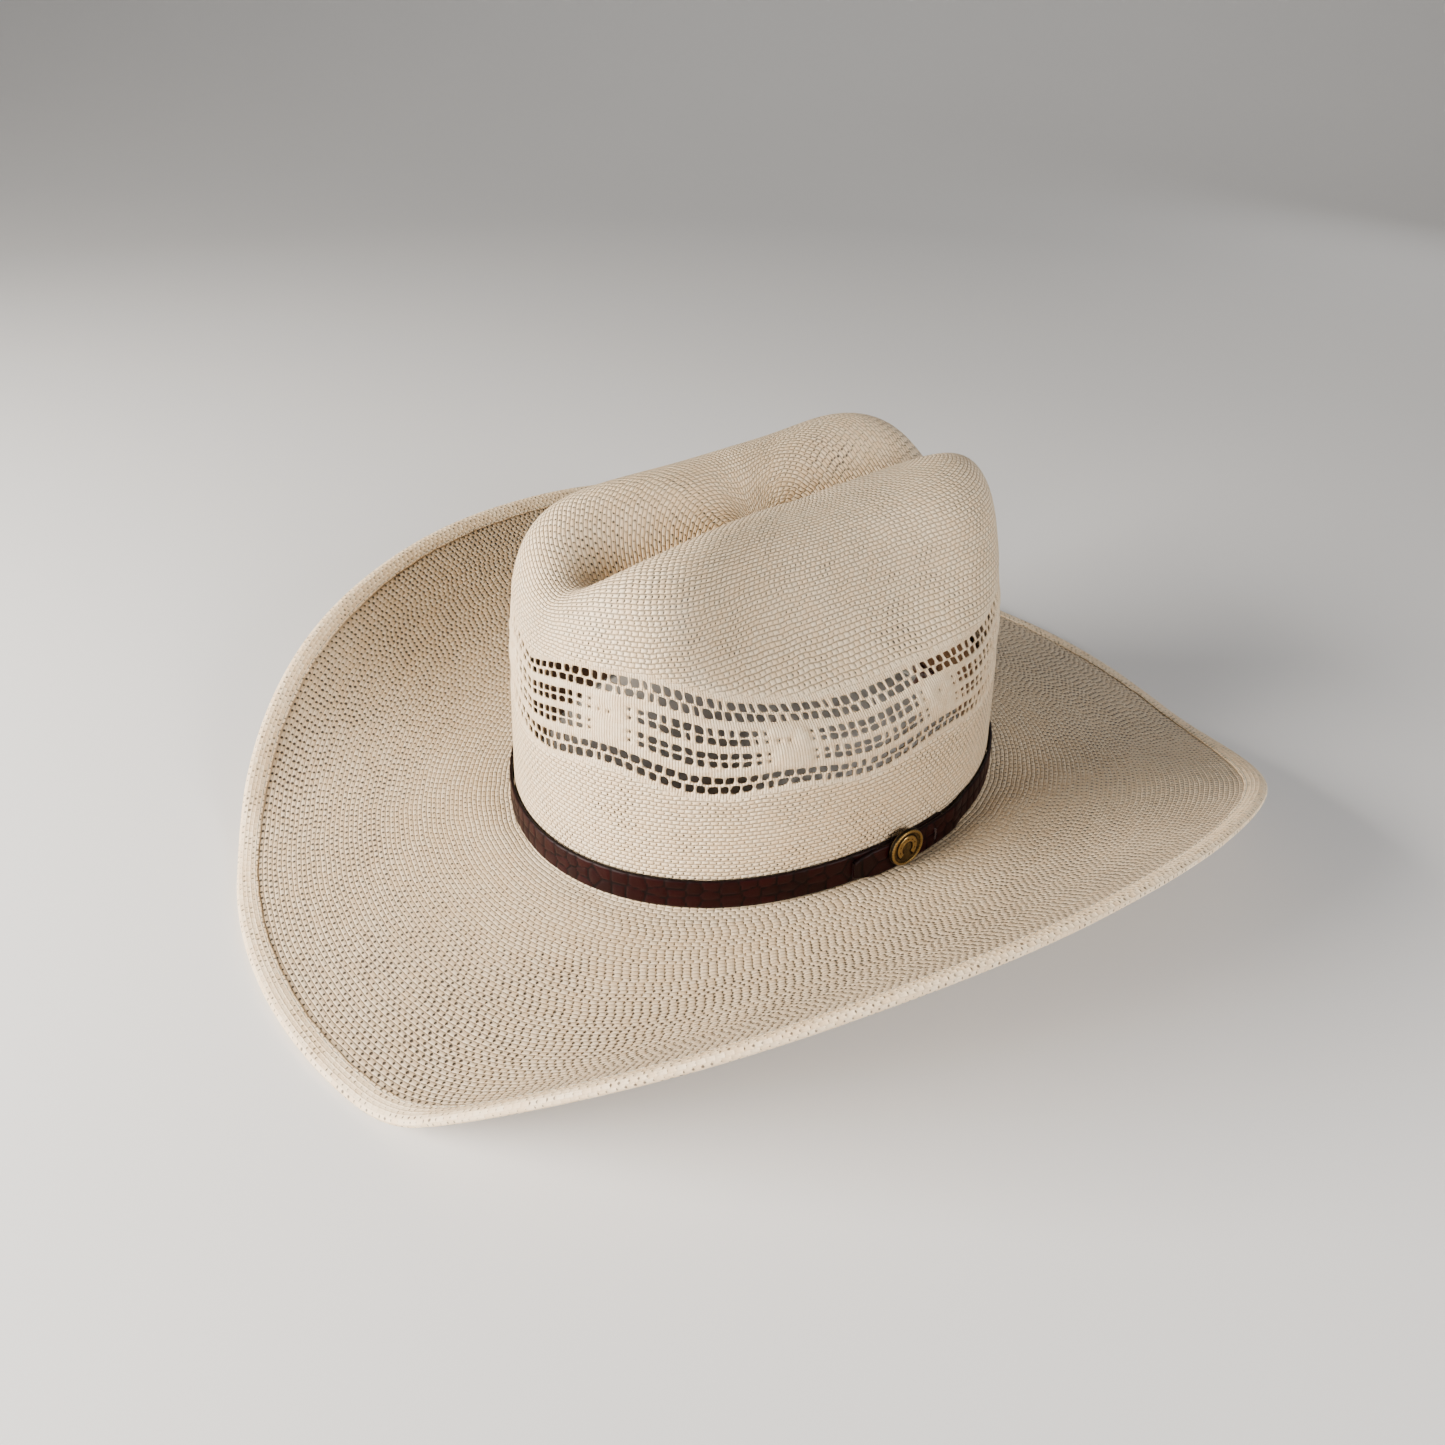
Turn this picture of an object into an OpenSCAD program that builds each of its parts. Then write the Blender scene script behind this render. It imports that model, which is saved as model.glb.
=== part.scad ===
// Western straw hat with a creased crown, a vented wall and a brim rolled up at both sides.
// Frame: front of the hat is -Y, the wearer's left is +X, up is +Z, the table is Z = 0.
// Angles around the hat run from 0 at the front, 90 at the wearer's left, to 180 at the back.

/* [Crown] */
// Crown length at the headline, middle of the straw to middle of the straw
crown_len = 200; // [165:1:240]
// Crown width at the headline
crown_wid = 172; // [140:1:206]
// Crown height over the headline
crown_h = 123; // [95:1:150]
// Rise of the crown top from its middle to its back
crown_rise = 5.5; // [0:0.5:15]
// Inward lean of the crown wall in degrees
crown_lean = 3; // [0:0.5:7]
// Depth of the centre crease behind the front of the crown
crease_depth = 34; // [10:1:42]
// Depth of the centre crease at the back
crease_back = 16; // [5:1:30]
// Half width of the centre crease
crease_w = 17; // [12:1:24]
// Height of the crown top that the crease is pressed into
crease_h = 45; // [35:1:60]
// Depth of each side dent
dent_depth = 27; // [8:1:34]
// Height of the deepest part of a side dent over the headline
dent_h = 99; // [80:1:120]
// Length of a side dent towards the front
dent_front = 60; // [40:1:80]
// Length of a side dent towards the back
dent_back = 68; // [40:1:90]

/* [Brim] */
// Brim width from the headline to its outer edge
brim_w = 106; // [85:1:130]
// Extra brim width at the four corners
brim_corner = 2.5; // [0:0.5:5]
// Distance of each side roll's start from the centre line
roll_x = 61; // [50:1:75]
// Radius of the side rolls
roll_r = 150; // [120:1:185]
// Steepest slope of the side rolls in degrees
roll_max = 42; // [20:1:60]
// Drop of the front of the brim
drop_front = 18; // [12:0.2:30]
// Drop of the back of the brim
drop_back = 18; // [12:0.2:30]
// How much of the drop is flattened where the brim stands on a table
lip_flat = 1.6; // [0.8:0.1:3]

/* [Straw and edge strip] */
// Thickness of the woven straw
straw_t = 2; // [1.4:0.1:3]
// Thickness of the edge strip
strip_t = 0.9; // [0.6:0.1:1.4]
// Width of the edge strip on each side of the brim
strip_w = 8; // [6:0.5:12]
// Gap between layers that lie on each other
lay_gap = 0.15; // [0.1:0.05:0.3]
// Radius of the edge wire
wire_r = 0.7; // [0.5:0.1:0.8]
// Radius of the sewing thread
thread_r = 0.18; // [0.14:0.02:0.2]

/* [Sweatband] */
// Height of the sweatband
sweat_h = 40; // [30:1:48]
// Thickness of the sweatband
sweat_t = 1.2; // [0.8:0.1:1.6]
// Radius of the reed at the sweatband's lower edge
reed_r = 1; // [0.7:0.1:1.2]

/* [Hatband and concho] */
// Height of the hatband strap
band_h = 11.6; // [10:0.1:14]
// Thickness of the hatband strap
band_t = 1.3; // [1.1:0.1:1.8]
// Gap between the crown and the hatband
band_gap = 0.5; // [0.4:0.05:1]
// Clearance between the strap's lower edge and the brim under it
band_lift = 0.22; // [0.2:0.01:2]
// Radius of the concho
concho_r = 7.6; // [6:0.1:8]
// Thickness of the concho
concho_t = 2.2; // [1.8:0.1:3]
// Running gap around the concho's post
turn_gap = 0.35; // [0.3:0.05:0.5]

/* [Part] */
// Name of the one piece to draw, or all

/* [Hidden] */
ha = crown_len/2;
hb = crown_wid/2;
half_t = straw_t/2;
nt = 72;
nc = 18;
nb = 10;
tc = 90;
lean = tan(crown_lean);
strip_o = half_t + lay_gap + strip_t;
strip_i = half_t + lay_gap;
lip_z = strip_o;
edge_y = brim_w - brim_corner;
drop_y0 = 17;
drop_y1 = 63;
roll_k1 = 0.165;
roll_k2 = 0.123;
brim_z = lip_z + min(drop_front, drop_back) - lip_flat;
cavity_d = 1;
sleeve_r = strip_i - lay_gap;
wire_d = cavity_d + sleeve_r + 0.3;
straw_end = wire_d + sleeve_r + 0.9;
notch_d = 7*strip_w/8;
thread_o = strip_o - 0.2;
fil = 3;
sb_out = -(half_t + 1.6);
sb_in = sb_out - sweat_t;
sb_low = reed_r + 0.6;
bi = half_t + band_gap;
wrap = 12;
post_r = 2;
hole_r = post_r + turn_gap;
head_r = 3.2;
head_t = 0.6;
recess_t = head_t + 0.3;
layer = band_t + lay_gap;
face_gap = 0.35;
co = bi + band_t + layer + face_gap;
band_z = band_lift + 1.02*half_t + sheet(hb + bi + layer + band_t, 0)[2] - sheet(hb, 0)[2];
rest_gap = 0.45;
tack_r = 0.3;
concho_h = concho_r + rest_gap + 1.035*half_t
  + sheet(hb + co + concho_t, 0)[2] - sheet(hb, 0)[2];

function sq(x) = x*x;
function cl(x) = min(1, max(0, x));
function ease(x) = let(c = cl(x)) c*c*(3 - 2*c);
function unit(v) = v/norm(v);

// Headline oval and its outward direction
function ov(t) = [hb*sin(t), -ha*cos(t)];
function nv(t) = unit([sin(t)/hb, -cos(t)/ha]);

// Flat brim sheet rolled about lines along Y, with a drop to the front and the back
function roll_rad(y) = roll_r*max(0.3, 1 + roll_k1*y/100 - roll_k2*sq(y/100));
function drop(y) = drop_front*sq(max(0, drop_y0 - y)/(ha + edge_y + drop_y0))
  + drop_back*sq(max(0, y - drop_y1)/(ha + edge_y - drop_y1));
function sheet(x, y) = let(s = max(0, abs(x) - roll_x), r = roll_rad(y),
    f = min(s/r*180/PI, roll_max), e = max(0, s - r*roll_max*PI/180))
  [sign(x)*(min(abs(x), roll_x) + r*sin(f) + e*cos(roll_max)), y,
   max(lip_z, brim_z + r*(1 - cos(f)) + e*sin(roll_max) - drop(y))];
function head_z(t) = let(o = ov(t)) sheet(o[0], o[1])[2];
function bw(t) = brim_w - brim_corner*cos(4*t);
function brim(t, r) = let(o = ov(t), n = nv(t)) sheet(o[0] + n[0]*r, o[1] + n[1]*r);
function brim_n(t, r) = unit(cross(brim(t, r + 0.5) - brim(t, r - 0.5),
  brim(t + 0.3, r) - brim(t - 0.3, r)));
function brim_o(t, r, o) = brim(t, r) + o*brim_n(t, r);

// Point beside the crown wall: off outward from the middle of the straw, h over the headline
function wall(t, off, h) = let(o = ov(t), n = nv(t), q = off - lean*h)
  [o[0] + n[0]*q, o[1] + n[1]*q, head_z(t) + h];

// Crown block with its centre crease and side dents pressed in
function blk(t, al) = let(o = ov(t), rr = norm(o), c = cos(t), m = 4.3 + 3.7*c*c,
    rho = pow(pow(cos(al)/rr, m) + pow(sin(al)/crown_h, m), -1/m),
    rad = rho*cos(al), h = rho*sin(al), q = rad*(1 - lean*h/rr),
    y = o[1]/rr*q, top = brim_z + crown_h + crown_rise*y/ha)
  [o[0]/rr*q, y, head_z(t) + (top - head_z(t))*h/crown_h, h];
function press(b) = let(x = b[0], y = b[1], h = b[3], ax = abs(x),
    f = cl(0.5 - y/(2*ha)), wc = crease_w*(0.9 + 0.2*f),
    m = ease((h - crown_h + crease_h)/crease_h)*(0.3 + 0.7*ease((y + ha - 4)/45)),
    g = (crease_back + (crease_depth - crease_back)*f)*exp(-sq(ax/wc))*m,
    yn = y + 6, hh = min(0, h - dent_h), gx = ease((ax - 12)/(0.85*hb - 12)),
    r2 = sq(yn/(yn < 0 ? dent_front : dent_back)) + sq(hh/30),
    s = dent_depth*exp(-pow(r2, 1.6))*gx)
  [x - sign(x)*s, y, b[2] - g - 0.12*s];
function crown(t, al) = press(blk(t, al));
function crown_n(t, al) = unit(cross(crown(t + 0.5, al) - crown(t - 0.5, al),
  crown(t, al + 0.4) - crown(t, al - 0.4)));

// Rings of the hood from the crown top outward
function hood(i, t, o) =
  i < nc - 1 ? let(al = 90 - 90*(i + 1)/nc) crown(t, al) + o*crown_n(t, al)
  : i == nc - 1 ? wall(t, o, fil)
  : i == nc ? (wall(t, 0, fil) + 2*wall(t, 0, 0) + brim(t, fil))/4
      + o*unit(brim_n(t, fil) + [nv(t)[0], nv(t)[1], 0])
  : i < nc + nb + 1 ? brim_o(t, fil + (bw(t) - strip_w - fil)*(i - nc - 1)/(nb - 1), o)
  : brim_o(t, bw(t) - straw_end, o);

// Closed ring sweep: rows of points around the hat, each row one section; from section point w
// on, the facets are cut along their other diagonal
function rim(n, m, w = 1000) = [for (j = [0:n - 1], k = [0:m - 1])
  let(a = (j + 1)%n, b = (k + 1)%m)
    each (k < w ? [[j*m + k, a*m + k, a*m + b], [j*m + k, a*m + b, j*m + b]]
      : [[j*m + k, a*m + k, j*m + b], [a*m + k, a*m + b, j*m + b]])];
// Open sweep of n rows with flat ends
function bar(n, m) = concat(
  [for (j = [0:n - 2], k = [0:m - 1]) let(b = (k + 1)%m)
    each [[j*m + k, (j + 1)*m + k, (j + 1)*m + b], [j*m + k, (j + 1)*m + b, j*m + b]]],
  [[for (k = [0:m - 1]) k], [for (k = [m - 1:-1:0]) (n - 1)*m + k]]);

// Section given as [distance in from the brim edge, offset], swept round the brim
module edge_ring(sec, w = 1000) {
  polyhedron([for (j = [0:nt - 1], s = sec) let(t = 360*j/nt) brim_o(t, bw(t) - s[0], s[1])],
    rim(nt, len(sec), w));
}
// Section given as [offset, height], swept round the crown wall
module wall_ring(sec) {
  polyhedron([for (j = [0:nt - 1], s = sec) wall(360*j/nt, s[0], s[1])], rim(nt, len(sec)));
}
// Patch beside the crown wall from angle a to b
module wall_patch(a, b, n, o0, o1, h0, h1) {
  polyhedron([for (j = [0:n], s = [[o1, h0], [o1, h1], [o0, h1], [o0, h0]])
    wall(a + (b - a)*j/n, s[0], s[1])], bar(n + 1, 4));
}
function disc(d, o, r, n) = [for (k = [0:n - 1]) [d + r*sin(360*k/n), o + r*cos(360*k/n)]];
function bead(d, o, r, n) = [for (k = [0:n - 1]) [d - r*sin(360*k/n), o + r*cos(360*k/n)]];

// Local frame at the concho: z along the concho's axis, y up along the strap
module at_concho(d) {
  p = wall(tc, 0, concho_h);
  translate(p) rotate([0, -crown_lean, 0]) translate([d, 0, 0]) rotate([90, 0, 90]) children();
}

module straw_body() {
  m = nc + nb + 2;
  color("Cornsilk") polyhedron(
    concat([for (o = [half_t, -half_t], i = [0:m - 1], j = [0:nt - 1]) hood(i, 360*j/nt, o)],
      [crown(0, 90) + [0, 0, half_t], crown(0, 90) - [0, 0, half_t]]),
    concat(
      [for (i = [0:m - 2], j = [0:nt - 1]) let(a = i*nt + j, b = i*nt + (j + 1)%nt)
        each [[a, b, b + nt], [a, b + nt, a + nt]]],
      [for (i = [0:m - 2], j = [0:nt - 1]) let(a = (m + i)*nt + j, b = (m + i)*nt + (j + 1)%nt)
        each [[a, b + nt, b], [a, a + nt, b + nt]]],
      [for (j = [0:nt - 1]) [2*m*nt, (j + 1)%nt, j]],
      [for (j = [0:nt - 1]) [2*m*nt + 1, m*nt + j, m*nt + (j + 1)%nt]],
      [for (j = [0:nt - 1]) let(a = (m - 1)*nt + j, b = (m - 1)*nt + (j + 1)%nt)
        each [[a, b, b + m*nt], [a, b + m*nt, a + m*nt]]]));
}
module brim_strip() {
  c = cavity_d;
  top = [[strip_w, strip_o], [notch_d + 0.4, strip_o], [notch_d, strip_o - 0.55],
    [notch_d - 0.4, strip_o], [2.2, strip_o], [0.6, 0.7*strip_o], [0, 0]];
  low = [for (i = [5:-1:0]) [top[i][0], -top[i][1]]];
  color("Cornsilk") edge_ring(concat(top, low,
    [[strip_w, -strip_i], [straw_end, -strip_i], [c, -strip_i],
      [c, strip_i], [straw_end, strip_i], [strip_w, strip_i]]), len(top) + len(low) + 3);
}
module brim_wire() {
  n = nt;
  color("Silver") polyhedron([for (j = [0:n], s = bead(wire_d, 0, wire_r, 6))
    let(t = 180.2 + 359.6*j/n) brim_o(t, bw(t) - s[0], s[1])], bar(n + 1, 6));
}
module wire_sleeve() {
  // The sleeve follows the wire's own facets on both sides of the back
  function near(t, s) = brim_o(t, bw(t) - s[0], s[1]);
  function row(s, u) = near(180, s) + (near(180 + sign(u)*360/nt, s) - near(180, s))*abs(u);
  module tube(r, u) {
    polyhedron([for (v = [-u, 0, u], s = bead(wire_d, 0, r, 24)) row(s, v)], bar(3, 24));
  }
  color("Silver") difference() {
    tube(sleeve_r, 0.27);
    tube(wire_r + 0.12, 0.3);
  }
}
module edge_thread_top() { color("Ivory") edge_ring(bead(notch_d, thread_o, thread_r, 4)); }
module edge_thread_under() { color("Ivory") edge_ring(bead(notch_d, -thread_o, thread_r, 4)); }
module sweatband() {
  color("Tan") wall_ring([[sb_in, sb_low], [sb_in, sweat_h - 0.3], [sb_in + 0.3, sweat_h],
    [sb_out - 0.3, sweat_h], [sb_out, sweat_h - 0.3], [sb_out, sb_low]]);
}
module sweatband_reed() { color("White") wall_ring(disc(sb_out - sweat_t/2, 0.2, reed_r, 6)); }
module reed_tape() {
  color("White") wall_ring([[-half_t - 0.8, -0.4], [-half_t - 0.8, 8], [-half_t - 0.4, 8],
    [-half_t - 0.4, -0.4]]);
}
module sweatband_thread() { color("Ivory") wall_ring(disc(-half_t - 1.2, 3, 0.25, 4)); }
module sweatband_seam_tape() {
  color("Tan") wall_patch(175, 185, 6, sb_in - lay_gap, sb_in - lay_gap - 0.4, 3, sweat_h - 3);
}
module size_tag() {
  color("White") wall_patch(196, 210, 8, sb_in - lay_gap, sb_in - lay_gap - 0.25, 10, 32);
}
module sweatband_bow() {
  p = wall(180, sb_in - lay_gap - 0.4 - lay_gap - 2.3, 9);
  color("SaddleBrown") translate(p) {
    for (s = [-1, 1]) translate([s*6.6, 0, 0]) difference() {
      scale([1.6, 0.5, 1]) cylinder(r = 3.8, h = 4, center = true, $fn = 32);
      scale([1.6, 0.5, 1]) cylinder(r = 3, h = 5, center = true, $fn = 32);
    }
    scale([1, 0.75, 1]) cylinder(r = 2.2, h = 4.6, center = true, $fn = 24);
    for (s = [-1, 1]) translate([s*1.5, 0, -6]) rotate([0, s*14, 0])
      cube([2.6, 0.8, 9], center = true);
  }
}
// Strap laid round the crown from its covered end to its outer end, which laps over it
module hatband_strap() {
  n = 84;
  function a(j) = (360 + 2*wrap)*j/n;
  function up(j) = layer*ease((a(j) - 349)/8);
  function tip(j) = 0.22*band_h*sq(cl(1 - (360 + 2*wrap - a(j))/7));
  color("Maroon") difference() {
    polyhedron([for (j = [0:n], s = [[0, 0], [0, 1], [1, 1], [1, 0]])
      wall(tc + wrap - a(j), bi + up(j) + band_t*s[0],
        band_z + tip(j) + (band_h - 2*tip(j))*s[1])], [for (f = bar(n + 1, 4))
          [for (i = [len(f) - 1:-1:0]) f[i]]]);
    at_concho(0) cylinder(r = hole_r, h = 12, $fn = 48);
    at_concho(-1) cylinder(r = head_r + turn_gap, h = 1 + bi + recess_t, $fn = 48);
    tack_legs(tack_r + 0.1, bi - 0.3, layer + band_t + 0.6);
  }
}
// The tack's two legs, which go through both layers beside the concho
module tack_legs(r, o, d) {
  for (h = [0.3, 0.7]) at_tack(o, band_h*h) cylinder(r = r, h = d, $fn = 16);
}
module at_tack(o, h) {
  t = tc + 9;
  translate(wall(t, o, band_z + h)) rotate([0, 0, atan2(nv(t)[1], nv(t)[0])])
    rotate([0, 90 - crown_lean, 0]) children();
}
module hatband_tack() {
  // Bar tack of thread: two legs joined by a bar that lies on the outer layer
  d = layer + band_t + 0.15;
  color("Black") {
    tack_legs(tack_r, bi, d + tack_r);
    at_tack(bi + d + tack_r, 0.3*band_h) rotate([0, -90, 0])
      cylinder(r = tack_r, h = 0.4*band_h, $fn = 16);
  }
}
module concho() {
  d = co;
  r = concho_r;
  t = concho_t;
  color("DarkGoldenrod") at_concho(0) difference() {
    union() {
      translate([0, 0, d]) rotate_extrude($fn = 64) polygon([[0, 0], [r - 0.3, 0], [r, 0.4],
        [r, 0.5*t], [r - 0.5, 0.85*t], [r - 1.1, t], [r - 1.7, 0.85*t], [r - 2, 0.55*t],
        [0, 0.62*t]]);
      translate([0, 0, bi + recess_t + 0.1]) cylinder(r = post_r, h = d - bi - recess_t, $fn = 48);
      translate([0, 0, d + 0.5*t]) linear_extrude(0.36*t) difference() {
        circle(r = 0.52*r, $fn = 40);
        translate([0, -0.05*r]) circle(r = 0.33*r, $fn = 40);
        translate([0, -0.6*r]) square([0.46*r, 0.7*r], center = true);
      }
    }
    translate([0, 0, bi]) cylinder(r = 1.2, h = d - bi + 0.5, $fn = 32);
  }
}
module concho_screw() {
  color("Goldenrod") at_concho(bi + 0.05) difference() {
    union() {
      cylinder(r = head_r, h = head_t, $fn = 48);
      cylinder(r = 1.1, h = band_t + layer, $fn = 32);
    }
    cube([2*head_r + 1, 0.7, 0.5], center = true);
  }
}

straw_body();
brim_strip();
brim_wire();
wire_sleeve();
edge_thread_top();
edge_thread_under();
sweatband();
sweatband_reed();
reed_tape();
sweatband_thread();
sweatband_seam_tape();
sweatband_bow();
size_tag();
hatband_strap();
hatband_tack();
concho();
concho_screw();
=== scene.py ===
"""Western straw hat: looks. Units are metres in the CAD frame; shape functions work in mm."""
import math

import bmesh
import bpy
import numpy as np
from mathutils import Matrix, Vector


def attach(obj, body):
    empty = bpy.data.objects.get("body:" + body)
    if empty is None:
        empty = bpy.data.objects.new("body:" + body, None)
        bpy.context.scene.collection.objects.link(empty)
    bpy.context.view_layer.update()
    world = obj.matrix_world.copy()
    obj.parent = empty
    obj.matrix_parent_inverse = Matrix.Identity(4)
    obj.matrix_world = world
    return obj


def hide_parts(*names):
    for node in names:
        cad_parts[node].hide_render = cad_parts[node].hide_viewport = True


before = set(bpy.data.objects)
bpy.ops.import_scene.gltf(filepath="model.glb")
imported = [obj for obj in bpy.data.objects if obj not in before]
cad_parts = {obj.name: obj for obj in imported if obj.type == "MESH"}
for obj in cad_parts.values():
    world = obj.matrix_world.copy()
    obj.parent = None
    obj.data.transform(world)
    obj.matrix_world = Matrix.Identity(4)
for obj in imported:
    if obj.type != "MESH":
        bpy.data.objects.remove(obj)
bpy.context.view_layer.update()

TAU = 2*math.pi
RNG = np.random.default_rng(7)
MM = 0.001

# Sizes of the hat in mm, as the CAD has them
HA, HB = 100.0, 86.0  # half length and half width of the headline oval
CROWN_H, RISE = 123.0, 5.5  # crown over the headline, and its rise to the back
WALL_LEAN = math.radians(3)  # the crown wall leans in
LEAN = math.tan(WALL_LEAN)
CREASE, CREASE_BACK = 34.0, 16.0  # depth of the crease at the front and the back
CREASE_W, CREASE_H = 17.0, 45.0  # its half width, and how far below the top it fades
DENT, DENT_H = 27.0, 99.0  # depth and height of the side dents
DENT_FRONT, DENT_BACK = 60.0, 68.0  # their reach to the front and the back
BRIM_W, CORNER = 106.0, 2.5  # brim width, and what squares its corners
ROLL_X, ROLL_R = 61.0, 150.0  # where the side roll starts, and its radius
ROLL_MAX = math.radians(42)
DROP, LIP_Z, BRIM_Z = 18.0, 2.05, 18.45  # drop at the ends, lowest edge, flat brim
HALF_T, STRAW_END = 1.0, 4.2  # half straw; the straw ends this far inside the rim
FILLET = 3.0  # between the crown wall and the brim
SB_OUT, SB_IN = -2.6, -3.8  # outer and inner side of the sweatband
BAND_H, BAND_T = 11.6, 1.3  # hatband height and thickness
BAND_I, BAND_Z = 1.5, 2.004  # its inner side, and its lower edge
LAYER, WRAP, CONCHO_DEG = 1.45, 12.0, 90.0  # step of the lap, half its angle, middle's angle
CONCHO_R, CONCHO_D, CONCHO_H = 7.6, 4.6, 10.3647  # radius, stand-off, height of the axis

# Sizes of the looks in mm
COLS = 288  # points round the hat
VENTS = 144  # vent columns round the crown
GROUPS = 9  # solid patches round the crown
FIRST_PATCH = 0.0626  # place of the first patch as part of a turn from the front
PATCH_COLS = VENTS/GROUPS
GIRTH = 585.0  # headline's length, for the number of grains in a row
SEAM_IN = 7.0  # the edge seam, in from the rim
SEAM_H = 6.0  # height of the joint between the crown skin and the brim skin
SHOE_R, SHOE_TALL = 3.5, 0.92  # radius of the horseshoe on the concho, and what makes it tall
STRAP_LEN = 640.0  # the strap laid flat


# ---- shape of the hat
def ease(x):
    c = np.clip(x, 0, 1)
    return c*c*(3 - 2*c)


def oval(t):
    """Point of the headline at angle t, counted from the front."""
    return HB*np.sin(t), -HA*np.cos(t)


def outward(t):
    """Level normal of the headline at angle t."""
    x, y = np.sin(t)/HB, -np.cos(t)/HA
    n = np.hypot(x, y)
    return x/n, y/n


def sheet(x, y):
    """Flat brim sheet rolled up at both sides, with a drop to the front and the back."""
    s = np.maximum(0, np.abs(x) - ROLL_X)
    r = ROLL_R*np.maximum(0.3, 1 + 0.165*y/100 - 0.123*(y/100)**2)
    f = np.minimum(s/r, ROLL_MAX)
    e = np.maximum(0, s - r*ROLL_MAX)
    edge_y = BRIM_W - CORNER
    drop = (DROP*(np.maximum(0, 17 - y)/(HA + edge_y + 17))**2
            + DROP*(np.maximum(0, y - 63)/(HA + edge_y - 63))**2)
    z = BRIM_Z + r*(1 - np.cos(f)) + e*math.sin(ROLL_MAX) - drop
    z = LIP_Z + np.logaddexp(0, (z - LIP_Z)*4)/4
    return np.stack([np.sign(x)*(np.minimum(np.abs(x), ROLL_X) + r*np.sin(f)
                                 + e*math.cos(ROLL_MAX)), y + 0*x, z], -1)


def head_z(t):
    return sheet(*oval(t))[..., 2]


def brim_width(t):
    return BRIM_W - CORNER*np.cos(4*t)


def brim(t, r):
    """Point of the brim r outside the headline; the outer part is a little uneven."""
    (x, y), (nx, ny) = oval(t), outward(t)
    p = sheet(x + nx*r, y + ny*r)
    out = np.clip((r - 20)/40, 0, 1)
    p[..., 2] += out*(0.22*np.sin(7*t + 1.3 + r*0.05) + 0.16*np.sin(13*t + r*0.11))*(
        np.clip((p[..., 2] - 5)/6, 0, 1))
    return p


def brim_off(t, r, o):
    """Point o over the brim, along its normal."""
    a = brim(t, r + 0.5) - brim(t, r - 0.5)
    b = brim(t + 0.005, r) - brim(t - 0.005, r)
    n = np.cross(a, b)
    n /= np.linalg.norm(n, axis=-1, keepdims=True)
    return brim(t, r) + np.asarray(o)[..., None]*n


def wall(t, off, h):
    """Point of the crown's straight wall, off outside it and h over the headline."""
    (x, y), (nx, ny) = oval(t), outward(t)
    q = off - LEAN*h
    return np.stack([x + nx*q, y + ny*q, head_z(t) + h], -1)


def crown_block(t, al):
    """Plain crown block: headline point, its distance from the middle, and the distance and
    height of the block's point at the polar angle al."""
    x0, y0 = oval(t)
    rr = np.hypot(x0, y0)
    c = np.cos(t)
    m = 4.3 + 3.7*c*c
    ca, sa = np.maximum(np.cos(al), 1e-9), np.maximum(np.sin(al), 1e-9)
    rho = ((ca/rr)**m + (sa/CROWN_H)**m)**(-1/m)
    return x0, y0, rr, rho*ca, rho*sa


def crown(t, al):
    """Crown block with its centre crease and side dents pressed in."""
    x0, y0, rr, rad, h = crown_block(t, al)
    q = rad*(1 - LEAN*h/rr)
    x, y = x0/rr*q, y0/rr*q
    top = BRIM_Z + CROWN_H + RISE*y/HA
    z0 = head_z(t)
    z = z0 + (top - z0)*h/CROWN_H
    ax = np.abs(x)
    f = np.clip(0.5 - y/(2*HA), 0, 1)
    wc = CREASE_W*(0.9 + 0.2*f)
    press = ease((h - CROWN_H + CREASE_H)/CREASE_H)*(0.3 + 0.7*ease((y + HA - 4)/45))
    g = (CREASE_BACK + (CREASE - CREASE_BACK)*f)*np.exp(-(ax/wc)**2)*press
    yn, hh = y + 6, np.minimum(0, h - DENT_H)
    gx = ease((ax - 12)/(0.85*HB - 12))
    r2 = (yn/np.where(yn < 0, DENT_FRONT, DENT_BACK))**2 + (hh/30)**2
    s = DENT*np.exp(-r2**1.6)*gx
    wave = 0.3*np.sin(5*t + h*0.05)*np.sin(h*0.07 + 2*t)*ease((h - 18)/20)*ease(rad/30)
    return np.stack([x - np.sign(x)*(s + wave*0.5), y, z - g - 0.12*s + wave], -1)


ARC_T = np.linspace(0, TAU, 4001)
ARC_X, ARC_Y = HB*np.sin(ARC_T), -HA*np.cos(ARC_T)
ARC_S = np.concatenate([[0], np.cumsum(np.hypot(np.diff(ARC_X), np.diff(ARC_Y)))])


def arc_part(t):
    """Part of a turn along the headline at angle t."""
    return np.interp(t, ARC_T, ARC_S/ARC_S[-1])


def turn_angle(u):
    """Angle at part u of a turn along the headline."""
    return np.interp(np.mod(u, 1.0), ARC_S/ARC_S[-1], ARC_T)


# ---- mesh helpers
def make(name, verts, faces, uvs=None, attrs=None, mat=None):
    """Mesh from points in mm. uvs: name -> per-corner pairs; attrs: name -> per-point values."""
    me = bpy.data.meshes.new(name)
    me.from_pydata((np.asarray(verts, float)*MM).tolist(), [], [list(map(int, f)) for f in faces])
    for key, uv in (uvs or {}).items():
        layer = me.uv_layers.new(name=key)
        layer.data.foreach_set("uv", np.asarray(uv, np.float32).ravel())
    for key, val in (attrs or {}).items():
        a = me.attributes.new(key, "FLOAT", "POINT")
        a.data.foreach_set("value", np.asarray(val, np.float32))
    me.validate()
    me.polygons.foreach_set("use_smooth", [True]*len(me.polygons))
    ob = bpy.data.objects.new(name, me)
    bpy.context.scene.collection.objects.link(ob)
    if mat:
        me.materials.append(mat)
    return ob


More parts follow.
